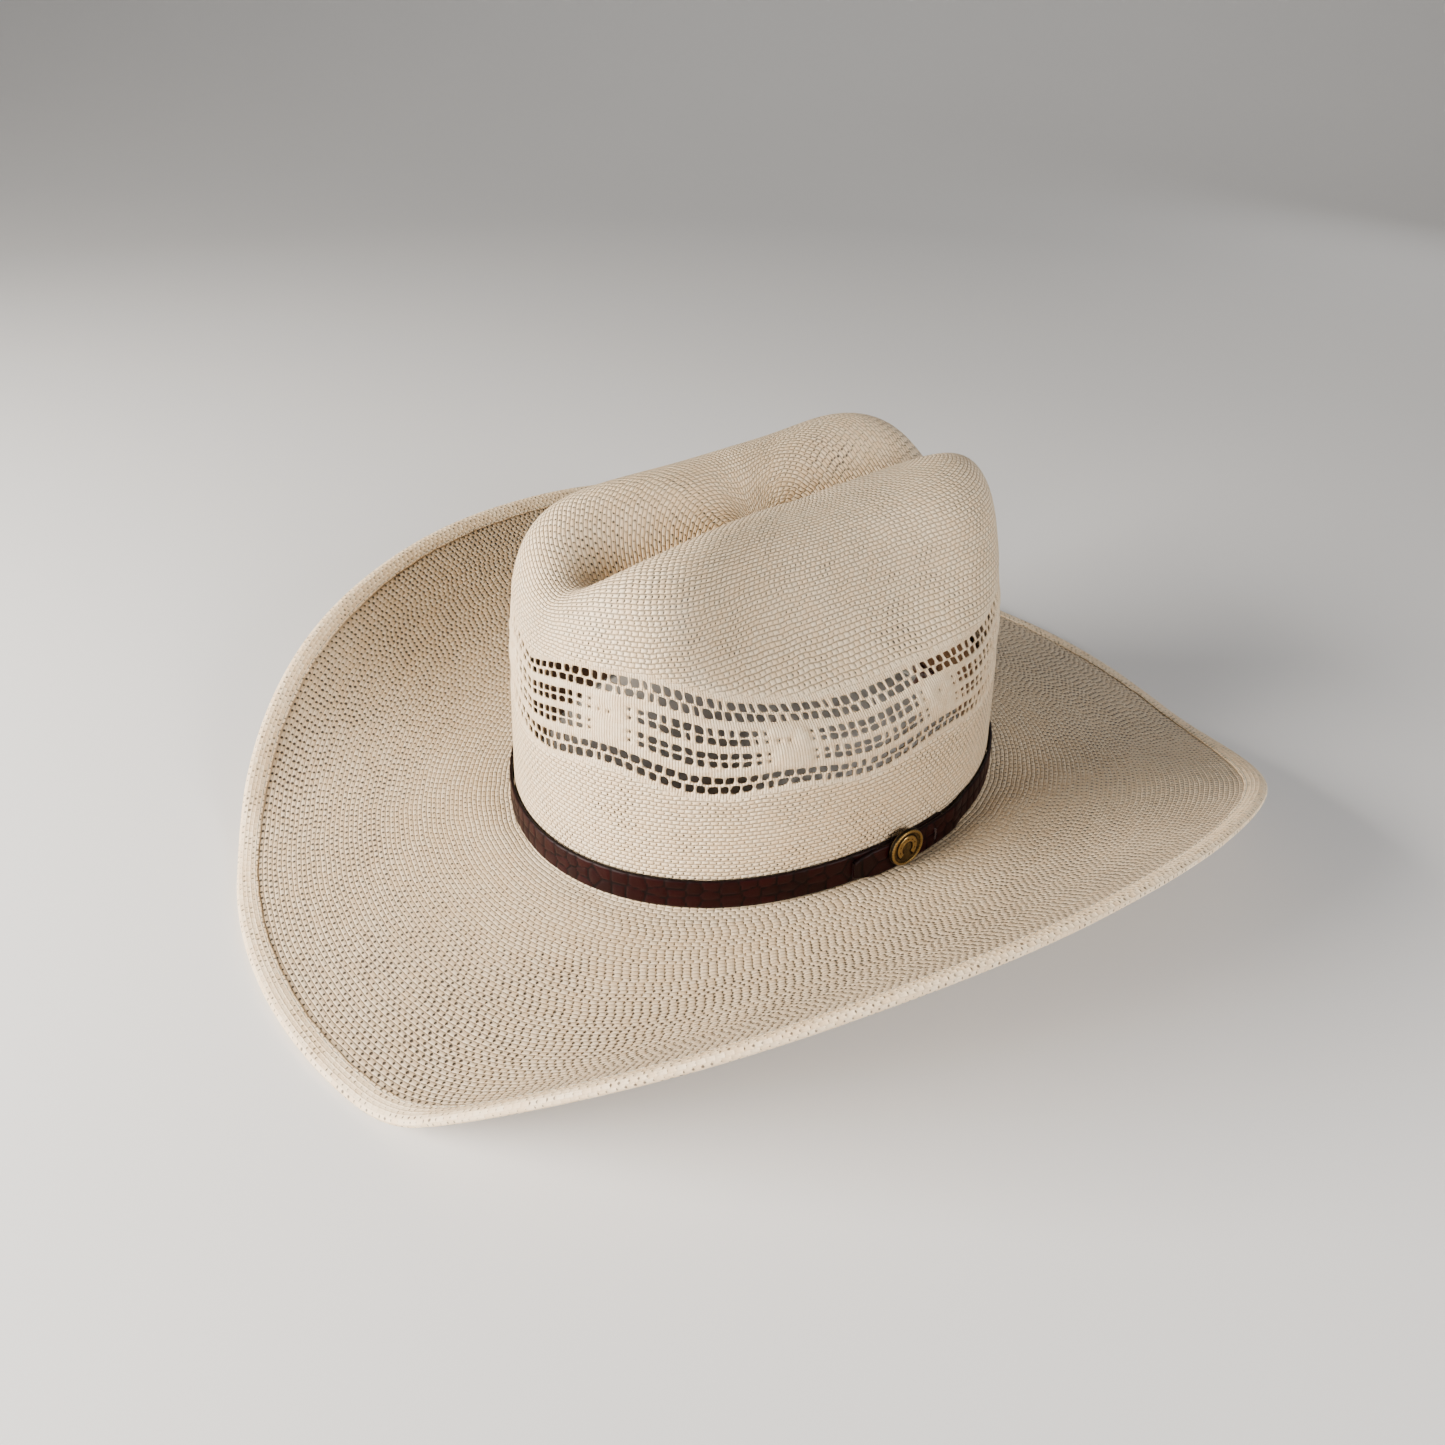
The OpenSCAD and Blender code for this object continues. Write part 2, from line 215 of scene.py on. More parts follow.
def vertex_normals(p, faces):
    """Area-weighted normals of a surface of quads and triangles."""
    n = np.zeros_like(p)
    for k in (3, 4):
        f = np.array([q for q in faces if len(q) == k], int).reshape(-1, k)
        c = np.cross(p[f[:, k - 2]] - p[f[:, 0]], p[f[:, k - 1]] - p[f[:, k - 3]])
        for i in range(k):
            np.add.at(n, f[:, i], c)
    return n/np.maximum(np.linalg.norm(n, axis=1, keepdims=True), 1e-12)


def finish_piece(ob, body, slot, *nodes):
    """Ties a piece to its body and hides the CAD nodes it replaces; slot is not used."""
    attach(ob, body)
    if nodes:
        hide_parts(*nodes)


def sweep(rows, closed=True, cap=False):
    """Faces of a strip of sections: rows has the shape (n, m, 3), sections are closed loops."""
    n, m = rows.shape[:2]
    pairs = [(j*m, (j + 1) % n*m) for j in range(n if closed else n - 1)]
    faces = [(a + k, b + k, b + (k + 1) % m, a + (k + 1) % m) for a, b in pairs for k in range(m)]
    if cap:
        faces += [tuple(range(m))[::-1], tuple((n - 1)*m + k for k in range(m))]
    return faces


def sweep_uv(n, m, closed=True, cap=False):
    """One bake map over a whole sweep; caps get a small disc in its middle."""
    uv = [(x/n, y/m) for j in range(n if closed else n - 1) for k in range(m)
          for x, y in ((j, k), (j + 1, k), (j + 1, k + 1), (j, k + 1))]
    if cap:
        uv += [(0.5 + 0.01*math.cos(TAU*k/m), 0.5 + 0.01*math.sin(TAU*k/m))
               for k in range(m)]*2
    return uv


def banded_uv(n, count, share, bands):
    """Bake map of count steps of a sweep n long, cut into bands stacked over each other: one
    list of corners per face. share is the place of each point along the section, 0 to 1."""
    uv = []
    for j in range(count):
        band = j*bands//n
        a0, a1 = j*bands/n - band, (j + 1)*bands/n - band
        y = [(band + 0.03 + 0.94*q)/bands for q in share]
        uv += [[(a0, y0), (a1, y0), (a1, y1), (a0, y1)] for y0, y1 in zip(y[:-1], y[1:])]
    return uv


def clean(ob):
    """Drops unused points and turns the faces outward."""
    bm = bmesh.new()
    bm.from_mesh(ob.data)
    loose = [v for v in bm.verts if not v.link_faces]
    bmesh.ops.delete(bm, geom=loose, context="VERTS")
    bmesh.ops.recalc_face_normals(bm, faces=bm.faces)
    bm.to_mesh(ob.data)
    bm.free()


# ---- material helpers
class Nodes:
    """Short way to write shader nodes."""

    def __init__(self, name):
        self.mat = bpy.data.materials.new(name)
        self.mat.use_nodes = True
        self.t = self.mat.node_tree
        self.bsdf = self.t.nodes["Principled BSDF"]

    def add(self, kind, ins=None, **props):
        n = self.t.nodes.new(kind)
        for k, v in props.items():
            setattr(n, k, v)
        for k, v in (ins or {}).items():
            self.put(n.inputs[k], v)
        return n

    def put(self, socket, v):
        if isinstance(v, bpy.types.NodeSocket):
            self.t.links.new(v, socket)
        else:
            socket.default_value = v

    def m(self, op, *values):
        n = self.add("ShaderNodeMath", operation=op)
        for i, v in enumerate(values):
            self.put(n.inputs[i], v)
        return n.outputs[0]

    def plus(self, a, b):
        return self.m("ADD", a, b)

    def minus(self, a, b):
        return self.m("SUBTRACT", a, b)

    def mul(self, a, b):
        return self.m("MULTIPLY", a, b)

    def ramp(self, x, lo, hi, a=0.0, b=1.0):
        ends = {"Value": x, "From Min": lo, "From Max": hi, "To Min": a, "To Max": b}
        return self.add("ShaderNodeMapRange", ends, interpolation_type="SMOOTHSTEP").outputs[0]

    def mix(self, f, a, b, blend="MIX"):
        return self.add("ShaderNodeMix", {0: f, 6: a, 7: b}, data_type="RGBA",
                        blend_type=blend).outputs[2]

    def noise(self, vec, scale, detail=2.0, rough=0.5):
        return self.add("ShaderNodeTexNoise", {"Vector": vec, "Scale": scale, "Detail": detail,
                                               "Roughness": rough}).outputs[0]

    def attr(self, name):
        return self.add("ShaderNodeAttribute", attribute_name=name).outputs["Fac"]

    def uv(self, name):
        s = self.add("ShaderNodeSeparateXYZ",
                     {0: self.add("ShaderNodeUVMap", uv_map=name).outputs[0]})
        return s.outputs[0], s.outputs[1]

    def vec(self, x, y):
        return self.add("ShaderNodeCombineXYZ", {0: x, 1: y}).outputs[0]

    def white(self, x, y):
        return self.add("ShaderNodeTexWhiteNoise", {"Vector": self.vec(x, y)},
                        noise_dimensions="2D").outputs["Value"]

    def obj(self):
        return self.add("ShaderNodeTexCoord").outputs["Object"]

    def bump(self, height, distance, strength=1.0):
        return self.add("ShaderNodeBump", {"Height": height, "Distance": distance,
                                           "Strength": strength}).outputs[0]

    def done(self, color, rough, normal=None, **const):
        self.put(self.bsdf.inputs["Base Color"], color)
        self.put(self.bsdf.inputs["Roughness"], rough)
        if normal is not None:
            self.put(self.bsdf.inputs["Normal"], normal)
        for k, v in const.items():
            self.bsdf.inputs[k.replace("_", " ")].default_value = v
        return self.mat


def rgb(r, g, b):
    """Display colour 0-255 as a linear colour."""
    c = [(v/255/12.92 if v/255 <= 0.04045 else ((v/255 + 0.055)/1.055)**2.4) for v in (r, g, b)]
    return (*c, 1.0)


STRAW_LIGHT = rgb(253, 230, 194)
STRAW_MID = rgb(243, 213, 171)
# painted shade: the colour the straw darkens to between its grains and rows
GRAIN_GAP_SHADE = rgb(158, 128, 90)
PINHOLE_SHADE = rgb(44, 32, 20)               # painted shade of the dark inside, seen through a pinhole
INSIDE_SHADE = rgb(92, 70, 46)            # painted shade on the crown's inner side
STRIP_EDGE = rgb(98, 74, 48)        # shadow under the strip's edge
BRIM_SHADE = (0.70, 0.69, 0.68, 1.0)     # painted shade: darkens the whole brim
STRIP_ROW, STRIP_PITCH, STRIP_GRAINS = 1.5, 2.6, 470.0


def shaded(color, share):
    return tuple(c*share for c in color[:3]) + (1.0,)


def weave_cells(k, u, v, row_h, count, phase=0.25):
    """Brick-set cells: row number, cell number, and the place inside the cell from 0 at its
    middle to 1 at its border, along and across the row."""
    rv = k.m("DIVIDE", v, row_h)
    row = k.m("FLOOR", rv)
    fv = k.minus(rv, row)
    n = count(row)
    ru = k.plus(k.mul(u, n), k.mul(k.m("FLOORED_MODULO", row, 2.0), 0.5))
    ru = k.plus(ru, k.mul(k.white(row, 3.7), phase))
    cell = k.m("FLOOR", ru)
    cu = k.m("ABSOLUTE", k.m("MULTIPLY_ADD", k.minus(ru, cell), 2.0, -1.0))
    cv = k.m("ABSOLUTE", k.m("MULTIPLY_ADD", fv, 2.0, -1.0))
    return row, k.m("FLOORED_MODULO", cell, n), cu, cv


def grain_mound(k, cu, cv, dip, groove):
    """Rounded rice-grain bump; dip is how deep the row sinks between two grains, groove how
    deep it sinks between two rows."""
    a = k.minus(1.0, k.mul(k.m("POWER", cu, 2.6), dip))
    b = k.minus(1.0, k.mul(k.m("POWER", cv, 3.0), groove))
    return k.m("POWER", k.m("MAXIMUM", k.mul(a, b), 0.0), 0.6)


def pinhole(k, cu, cv, pitch, row_h, radius):
    """Round hole between two grains of one row, 1 at its middle."""
    dx = k.mul(k.minus(1.0, cu), pitch/2)
    dy = k.mul(cv, row_h/2)
    d = k.m("SQRT", k.plus(k.mul(dx, dx), k.mul(dy, dy)))
    return k.ramp(k.minus(d, radius), 0.14, -0.12)


def straw_tone(k, rand, broad_scale):
    """Bleached straw, a little different from grain to grain and from place to place."""
    broad = k.noise(k.obj(), broad_scale, 3.0)
    tone = k.plus(k.mul(rand, 0.45), k.mul(broad, 0.5))
    return k.mix(k.ramp(tone, 0.15, 0.8), STRAW_MID, STRAW_LIGHT)


def weave_material(name, kind):
    """Woven straw: rows of rounded bumps set like bricks, with pinholes between them.
    UV map 'weave' holds the part of a turn and the distance in mm along the straw."""
    k = Nodes(name)
    on_crown = kind == "crown"
    u, v = k.uv("weave")
    row_h, pitch = (1.65, 2.55) if on_crown else (1.75, 2.9)
    warp = k.noise(k.vec(k.mul(u, 60.0), k.mul(v, 0.07)), 1.0, 2.0)
    vv = k.plus(v, k.mul(k.minus(warp, 0.5), 1.5))

    def count(row):
        """Grains in a row: as many as its girth holds."""
        mid = k.mul(k.plus(row, 0.5), row_h)
        if on_crown:
            girth = k.m("MINIMUM", GIRTH - 10, k.mul(k.minus(214.0, mid), 5.4))
        else:
            girth = k.m("MULTIPLY_ADD", k.m("MAXIMUM", mid, 0.0), TAU, GIRTH)
        return k.m("ROUND", k.m("MAXIMUM", k.m("DIVIDE", girth, pitch), 6.0))

    row, cell, cu, cv = weave_cells(k, u, vv, row_h, count, 0.25 if on_crown else 0.6)
    rand, rand2 = k.white(cell, row), k.white(row, k.plus(cell, 0.37))
    mound = grain_mound(k, cu, cv, *((0.85, 1.0) if on_crown else (0.65, 0.6)))
    loose = k.noise(k.vec(k.mul(u, 30.0), k.mul(v, 0.04)), 1.0, 2.0)
    if on_crown:
        size = k.m("MULTIPLY_ADD", loose, 0.70, -0.16)
    else:
        size = k.plus(k.ramp(v, 8.0, 60.0, 0.02, 0.27), k.mul(loose, 0.36))
    size = k.plus(size, k.mul(k.minus(rand2, 0.5), 0.26))
    pin = pinhole(k, cu, cv, pitch, row_h, size)
    fibre = k.noise(k.vec(k.mul(u, 900.0), k.mul(vv, 5.5)), 1.0, 3.0, 0.6)
    height = k.plus(k.mul(mound, k.m("MULTIPLY_ADD", rand, 0.35, 0.75)), k.mul(fibre, 0.15))
    shade = k.mul(k.ramp(mound, 0.75, 0.0), 0.62)
    base = straw_tone(k, rand, 9.0)
    if on_crown:
        # between the vents the straw is drawn into upright cords, with no grains or pinholes
        vent = k.attr("vent")
        cords = k.m("ABSOLUTE", k.m("SINE", k.mul(u, math.pi*VENTS*4)))
        strand = k.plus(k.mul(k.m("POWER", cords, 0.6), 0.45), k.mul(fibre, 0.35))
        height = k.add("ShaderNodeMix", {0: vent, 2: height, 3: strand}).outputs[0]
        pin = k.mul(pin, k.minus(1.0, vent))
        shade = k.mul(shade, k.minus(1.0, k.mul(vent, 0.9)))
    else:
        # painted shade: the brim is darkened, fading in from low on the crown wall to 8 mm out
        base = k.mix(k.ramp(v, -5.0, 8.0), base, BRIM_SHADE, "MULTIPLY")
    # painted shade between the grains and between the rows
    base = k.mix(shade, base, GRAIN_GAP_SHADE)
    # painted shade seen through the pinholes
    base = k.mix(k.mul(pin, 0.95), base, PINHOLE_SHADE)
    if on_crown:
        # painted shade on the inner side of the crown
        base = k.mix(k.mul(k.attr("inside"), 0.7), base, INSIDE_SHADE)
    rough = k.m("MULTIPLY_ADD", fibre, 0.2, 0.42)
    deep = k.minus(height, k.mul(pin, 0.6))
    return k.done(base, rough, k.bump(deep, 0.0010), Coat_Weight=0.12, Coat_Roughness=0.35,
                  Sheen_Weight=0.05)


def strip_material():
    """The same weave laid the other way round on the folded edge strip."""
    k = Nodes("straw_strip_look")
    u, v = k.uv("weave")
    row, cell, cu, cv = weave_cells(k, u, v, STRIP_ROW, lambda _: STRIP_GRAINS)
    rand, rand2 = k.white(cell, row), k.white(row, k.plus(cell, 0.37))
    mound = grain_mound(k, cu, cv, 0.6, 0.5)
    pin = pinhole(k, cu, cv, STRIP_PITCH, STRIP_ROW, k.m("MULTIPLY_ADD", rand2, 0.78, -0.22))
    fibre = k.noise(k.vec(k.mul(u, 1500.0), k.mul(v, 4.0)), 1.0, 3.0)
    # painted shade between the grains
    base = k.mix(k.mul(k.ramp(mound, 0.7, 0.0), 0.75), straw_tone(k, rand, 14.0), GRAIN_GAP_SHADE)
    # painted shade seen through the pinholes
    base = k.mix(k.mul(pin, 0.85), base, PINHOLE_SHADE)
    base = k.mix(k.ramp(v, 0.5, 0.1, 0.0, 0.55), base, STRIP_EDGE)
    height = k.plus(k.mul(mound, 0.8), k.mul(fibre, 0.2))
    return k.done(base, k.m("MULTIPLY_ADD", fibre, 0.2, 0.45), k.bump(height, 0.0006, 0.9),
                  Coat_Weight=0.1, Coat_Roughness=0.35)


def thread_material(name, color):
    k = Nodes(name)
    n = k.noise(k.obj(), 2600.0, 2.0)
    return k.done(k.mix(k.ramp(n, 0.35, 0.7), shaded(color, 0.55), color), 0.75,
                  k.bump(n, 0.0002, 0.6), Sheen_Weight=0.3)


def croc_material():
    """Dark red scaled leather: 'groove' is 1 between scales, 'cell' differs from scale to
    scale, 'edge' is 1 at the strap's edges."""
    k = Nodes("croc_leather_look")
    groove = k.attr("groove")
    pores = k.noise(k.obj(), 1500.0, 3.0)
    broad = k.noise(k.obj(), 60.0, 3.0)
    top = k.mix(k.mul(k.plus(k.attr("cell"), broad), 0.5), rgb(15, 2, 3), rgb(38, 4, 6))
    col = k.mix(k.ramp(groove, 0.15, 0.75), top, rgb(8, 2, 3))
    col = k.mix(k.mul(k.ramp(k.attr("edge"), 0.3, 1.0), 0.8), col, rgb(10, 3, 3))
    rough = k.plus(k.m("MULTIPLY_ADD", pores, 0.15, 0.38), k.mul(groove, 0.25))
    return k.done(col, rough, k.bump(pores, 0.0001, 0.5), Coat_Weight=0.03, Coat_Roughness=0.3,
                  Specular_IOR_Level=0.1)


def brass_material(name, base, dark, low, high, cast=False):
    """Aged brass. On the cast concho 'relief' is high where the metal is raised and polished."""
    k = Nodes(name)
    relief = k.attr("relief") if cast else k.noise(k.obj(), 300.0, 2.0)
    grain = k.noise(k.obj(), 900.0, 4.0, 0.65)
    worn = k.ramp(k.plus(relief, k.mul(k.minus(grain, 0.5), 0.35)), low, high)
    return k.done(k.mix(worn, dark, base), k.minus(0.62, k.mul(worn, 0.30)),
                  k.bump(grain, 0.00012, 0.5), Metallic=0.92)


def leather_material(name, a, b):
    """Fine-grained lining leather."""
    k = Nodes(name)
    vor = k.add("ShaderNodeTexVoronoi", {"Vector": k.obj(), "Scale": 700.0},
                feature="DISTANCE_TO_EDGE").outputs["Distance"]
    crease = k.ramp(vor, 0.0, 0.18)
    broad = k.noise(k.obj(), 22.0, 4.0)
    col = k.mix(k.ramp(broad, 0.3, 0.7), a, b)
    # painted shade in the creases of the grain
    col = k.mix(k.mul(k.minus(1.0, crease), 0.35), col, shaded(a, 0.4))
    height = k.plus(crease, k.mul(broad, 0.6))
    return k.done(col, k.m("MULTIPLY_ADD", broad, 0.2, 0.4), k.bump(height, 0.00015, 0.7),
                  Coat_Weight=0.08)


def cloth_material(name, a, b, scale=1100.0, sheen=0.3, rough=0.8):
    """Plain-woven cloth, scale threads to the metre."""
    k = Nodes(name)
    s = k.add("ShaderNodeSeparateXYZ", {0: k.obj()})
    x = k.m("SINE", k.mul(k.plus(s.outputs[0], s.outputs[1]), scale*TAU))
    y = k.m("SINE", k.mul(s.outputs[2], scale*TAU))
    w = k.m("MULTIPLY_ADD", k.mul(x, y), 0.5, 0.5)
    n = k.noise(k.obj(), 120.0, 3.0)
    return k.done(k.mix(k.m("MULTIPLY_ADD", w, 0.5, k.mul(n, 0.4)), a, b), rough,
                  k.bump(w, 0.0002, 0.6), Sheen_Weight=sheen)


def plain_material(name, color, rough, metallic=0.0):
    k = Nodes(name)
    n = k.noise(k.obj(), 500.0, 4.0)
    return k.done(k.mix(n, shaded(color, 0.75), color), k.m("MULTIPLY_ADD", n, 0.25, rough - 0.1),
                  k.bump(n, 0.00005, 0.4), Metallic=metallic)


# ---- straw pieces
# The bake map of a skin: width of each side's half, and where the two halves start
HALF_MAP, OUTER_MAP, INNER_MAP = 0.495, 0.002, 0.503


def skin(name, mid, faces, half, corner_uv, attrs, bake, mat):
    """Closed skin round the middle surface mid: half is half the thickness at each point.
    corner_uv gives (u, v) per face corner for the weave; bake gives (x, y) per face corner."""
    used = np.unique(np.concatenate([np.asarray(f) for f in faces]))
    index = -np.ones(len(mid), int)
    index[used] = np.arange(len(used))
    faces = [tuple(index[list(f)]) for f in faces]
    mid, half = mid[used], half[used]
    offset = vertex_normals(mid, faces)*half[:, None]
    count = len(mid)
    outer, inner, rim = [], [], {}
    for f, c, b in zip(faces, corner_uv, bake):
        outer.append((f, c, [(x*HALF_MAP + OUTER_MAP, y) for x, y in b]))
        inner.append((tuple(i + count for i in f[::-1]), c[::-1],
                      [(x*HALF_MAP + INNER_MAP, y) for x, y in b[::-1]]))
        for i in range(len(f)):
            j = (i + 1) % len(f)
            if rim.pop((f[j], f[i]), None) is None:
                rim[(f[i], f[j])] = (c[i], c[j], outer[-1][2][i], outer[-1][2][j])
    # faces along each border used by one face only
    walls = [((z, a, a + count, z + count), (cz, ca, ca, cz), (bz, ba, ba, bz))
             for (a, z), (ca, cz, ba, bz) in rim.items()]
    every = outer + inner + walls
    attrs = {key: np.tile(values[used], 2) for key, values in attrs.items()}
    attrs["inside"] = np.repeat([0.0, 1.0], count)
    return make(name, np.concatenate([mid + offset, mid - offset]), [e[0] for e in every],
                {"weave": [q for e in every for q in e[1]],
                 "OFBake": [q for e in every for q in e[2]]}, attrs, mat=mat)


def vent_heights(t):
    """Height of the lower and the upper pair of vent rows over the headline."""
    d = np.degrees(t)
    d = np.where(d > 180, 360 - d, d)
    wave = np.cos(TAU*GROUPS*(arc_part(t) - FIRST_PATCH))
    low = (50.4 + 7.5*np.exp(-((d - 26)/np.where(d < 26, 45, 25))**2)
           + 3.5*np.exp(-((d - 154)/np.where(d > 154, 45, 25))**2) + 1.7*wave)
    up = 69.0 + 16.5*np.exp(-(np.maximum(0, np.abs(d - 24) - 6)/27)**2)
    up = np.maximum(up, 69.0 + 11.0*np.exp(-((d - 158)/26)**2)) + 0.6*wave
    return low, up


# Borders of the rows of vents: 0 is the middle of the lower pair, 1 that of the upper pair
CELL_ROWS = [-0.15, 0.0, 0.14, 0.25, 0.365, 0.48, 0.555, 0.67, 0.785, 0.87, 1.0, 1.13]
EDGE_ROWS = (0, 1, 9, 10)       # rows of vents all round
MID_ROWS = (3, 4, 6, 7)         # rows with solid patches between them
SHIFTED_ROWS = (1, 10)          # set half a vent on from the other row of their pair
SLIT_ROW = 6                    # the patches have narrow slits in this row
VENT_LIP, VENT_FRAME = 0.3, 0.65    # half thickness of the straw at a vent and beside it


def crown_rings(low, up, length):
    """Distance of each ring of points from the headline, and the vent row that starts at it:
    None for a plain ring, -1 for the ring through the middle of a row."""
    gap = up - low
    zone, top = low + CELL_ROWS[0]*gap, low + CELL_ROWS[-1]*gap
    rings = [(SEAM_H + (zone - SEAM_H)*w, None) for w in np.linspace(0, 1, 17)[:-1]]
    for row, (a, b) in enumerate(zip(CELL_ROWS[:-1], CELL_ROWS[1:])):
        rings.append((low + a*gap, row))
        if row in EDGE_ROWS + MID_ROWS:
            rings.append((low + (a + b)/2*gap, -1))
    rings.append((top, None))
    rings += [(top + (length - top)*w, None) for w in np.linspace(0, 1, 44)[1:-1]**0.96]
    dist, rows = np.array([r[0] for r in rings]), [r[1] for r in rings]
    # small shifts of the vent rows, smooth from neighbour to neighbour
    for i, row in enumerate(rows):
        if row is not None:
            shift = np.convolve(RNG.uniform(-1, 1, COLS + 4), [0.25, 0.5, 0.25], "same")[2:-2]
            dist[i] += 0.28*shift
    return dist, rows


def crown_rows(u, samples=420):
    """For each column: its angle, the crown points up it, and the arc length to each."""
    t = turn_angle(u)
    al = np.linspace(0, math.pi/2, samples)
    pts = crown(t[:, None], al[None, :])
    rad, h = crown_block(t[:, None], al[None, :])[3:]
    s = np.concatenate([np.zeros((len(t), 1)),
                        np.cumsum(np.hypot(np.diff(rad, axis=1), np.diff(h, axis=1)), 1)], 1)
    return t, pts, s


def vent_opening(row, col):
    """How far the vent in this row and column is open, and whether it is a narrow slit."""
    pos = (col/VENTS - FIRST_PATCH)*GROUPS
    d = abs(pos - round(pos))*PATCH_COLS           # columns from the middle of a patch
    if row in EDGE_ROWS:
        return (1.22 if row < 2 and d < 3 else 1.0), False
    opened = float(np.clip((d - 1.9)/1.3, 0, 1))
    if 0 < opened < 1:
        opened = 0.45*opened + 0.1
    return opened, row == SLIT_ROW and d <= 1.9 and RNG.random() < 0.6


def vent_outline(opened, slit):
    """Eight points of a vent's rounded outline, its cell reaching from -1 to 1 both ways."""
    wide = RNG.uniform(0.68, 0.95)*min(1.12, opened**0.5)
    tall = RNG.uniform(0.82, 1.0)*min(1.06, opened**0.4)
    if RNG.random() < 0.12:
        wide *= 0.55
    if slit:
        wide, tall = 0.16, 0.42
    skew = RNG.uniform(-0.16, 0.16)
    shift = RNG.uniform(-0.07, 0.07, 2)
    outline = []
    for q in range(8):
        ang = math.radians(45*q - 135)
        x, y = (math.copysign(abs(c)**0.62, c) if abs(c) > 1e-6 else 0.0
                for c in (math.cos(ang), math.sin(ang)))
        x *= wide*RNG.uniform(0.88, 1.08)
        y *= tall*RNG.uniform(0.88, 1.08)
        x += skew*y + shift[0]
        y += shift[1]
        outline.append((float(np.clip(x, -0.9, 0.9)), float(np.clip(y, -0.92, 0.92))))
    return outline


def straw_crown(mat):
    """Crown from just over the headline to the top, with the open vents cut through it."""
    cell_u = np.arange(VENTS)/VENTS + RNG.uniform(-0.11, 0.11, VENTS)/VENTS
    nxt = np.append(cell_u[1:], cell_u[0] + 1)
    u = np.stack([cell_u, (cell_u + nxt)/2], 1).ravel()
    t, pts, s = crown_rows(u)
    dist, rows = crown_rings(*vent_heights(t), s[:, -1])
    points = np.empty((len(rows), COLS, 3))
    for j in range(COLS):
        for c in range(3):
            points[:, j, c] = np.interp(dist[:, j], s[j], pts[j, :, c])
    points[0] = wall(t, 0.0, SEAM_H)
    verts = list(points.reshape(-1, 3))
    verts.append(crown(np.array(0.0), np.array(math.pi/2)))
    half, vent = [HALF_T]*len(verts), [0.0]*len(verts)
    span = s[:, -1].mean()
    faces, cuv = [], []

    def vid(i, j):
        return i*COLS + j % COLS

    def uv_at(i, j):
        return (u[j % COLS] + (1 if j >= COLS else 0), float(dist[i, j % COLS]))

    def put(ids, corners):
        faces.append(ids)
        cuv.append(corners)

    def quad(i, j):
        corners = [(i, j), (i, j + 1), (i + 1, j + 1), (i + 1, j)]
        put([vid(*p) for p in corners], [uv_at(*p) for p in corners])

    def open_vent(border, opened, slit):
        """Eight faces between the border of a cell and the vent's outline."""
        corner = [vid(*p) for p in border]
        pc, cc = np.array([verts[k] for k in corner]), np.array([uv_at(*p) for p in border])
        first, inner = len(verts), []
        for x, y in vent_outline(opened, slit):
            verts.append(pc.mean(0) + (pc[3] - pc[7])/2*x + (pc[5] - pc[1])/2*y)
            inner.append(tuple(cc.mean(0) + (cc[3] - cc[7])/2*x + (cc[5] - cc[1])/2*y))
            half.append(VENT_LIP)
            vent.append(1.0)
        for q in range(8):
            r = (q + 1) % 8
            put([corner[q], corner[r], first + r, first + q],
                [tuple(cc[q]), tuple(cc[r]), inner[r], inner[q]])
        for k in corner:
            vent[k], half[k] = 1.0, VENT_FRAME

    i, last = 0, len(rows) - 1
    while i < last:
        if rows[i] not in EDGE_ROWS + MID_ROWS:
            for j in range(COLS):
                quad(i, j)
            i += 1
            continue
        for c in range(VENTS):
            j = 2*c + (1 if rows[i] in SHIFTED_ROWS else 0)
            border = [(i, j), (i, j + 1), (i, j + 2), (i + 1, j + 2), (i + 2, j + 2),
                      (i + 2, j + 1), (i + 2, j), (i + 1, j)]
            opened, slit = vent_opening(rows[i], c)
            if opened >= 0.12 or slit:
                open_vent(border, opened, slit)
                continue
            for p in ((i, j), (i, j + 1), (i + 1, j), (i + 1, j + 1)):
                quad(*p)
            for p in border + [(i + 1, j + 1)]:
                vent[vid(*p)] = 1.0
        i += 2
    for j in range(COLS):
        a, b = uv_at(last, j), uv_at(last, j + 1)
        put([vid(last, j), vid(last, j + 1), len(rows)*COLS], [a, b, ((a[0] + b[0])/2, span)])
    bake = [[(float(v/(span + 4)), float((turn + 0.01)/1.03)) for turn, v in cs] for cs in cuv]
    return skin("straw_crown", np.array(verts), faces, np.array(half), cuv,
                {"vent": np.array(vent)}, bake, mat), t


def straw_brim(mat, t):
    """Lower wall, fillet and brim, one skin out to inside the edge strip."""
    u = np.unwrap(arc_part(t)*TAU)/TAU
    w3, w0, b3 = wall(t, 0.0, FILLET), wall(t, 0.0, 0.0), brim(t, np.array(FILLET))
    rings = [wall(t, 0.0, SEAM_H), wall(t, 0.0, 4.5)]
    v = [-SEAM_H, -4.5]
    for a in (0.0, 0.25, 0.5, 0.75):
        rings.append((1 - a)**2*w3 + 2*a*(1 - a)*w0 + a*a*b3)
        v.append(-FILLET + 2*FILLET*a)
    for a in np.linspace(0, 1, 40):
        r = FILLET + (brim_width(t) - STRAW_END - FILLET)*a
        rings.append(brim(t, r))
        v.append(float(r.mean()))
    (x0, y0), (nx, ny) = oval(t), outward(t)
    span = 440      # the flat bake map's width in mm
    flat = [np.stack([(x0 + nx*(d + 10))/span + 0.5, (y0 + ny*(d + 10))/span + 0.5], -1)
            for d in v]
    faces, cuv, bake = [], [], []
    for i in range(len(rings) - 1):
        for j in range(COLS):
            b = (j + 1) % COLS
            ub = u[b] + (1 if b == 0 else 0)
            corners = [(i + 1, j), (i + 1, b), (i, b), (i, j)]
            faces.append([r*COLS + c for r, c in corners])
            cuv.append([(u[j], v[i + 1]), (ub, v[i + 1]), (ub, v[i]), (u[j], v[i])])
            bake.append([tuple(flat[r][c]) for r, c in corners])
    half = np.full(len(rings)*COLS, HALF_T)
    return skin("straw_brim", np.concatenate(rings), faces, half, cuv, {}, bake, mat)


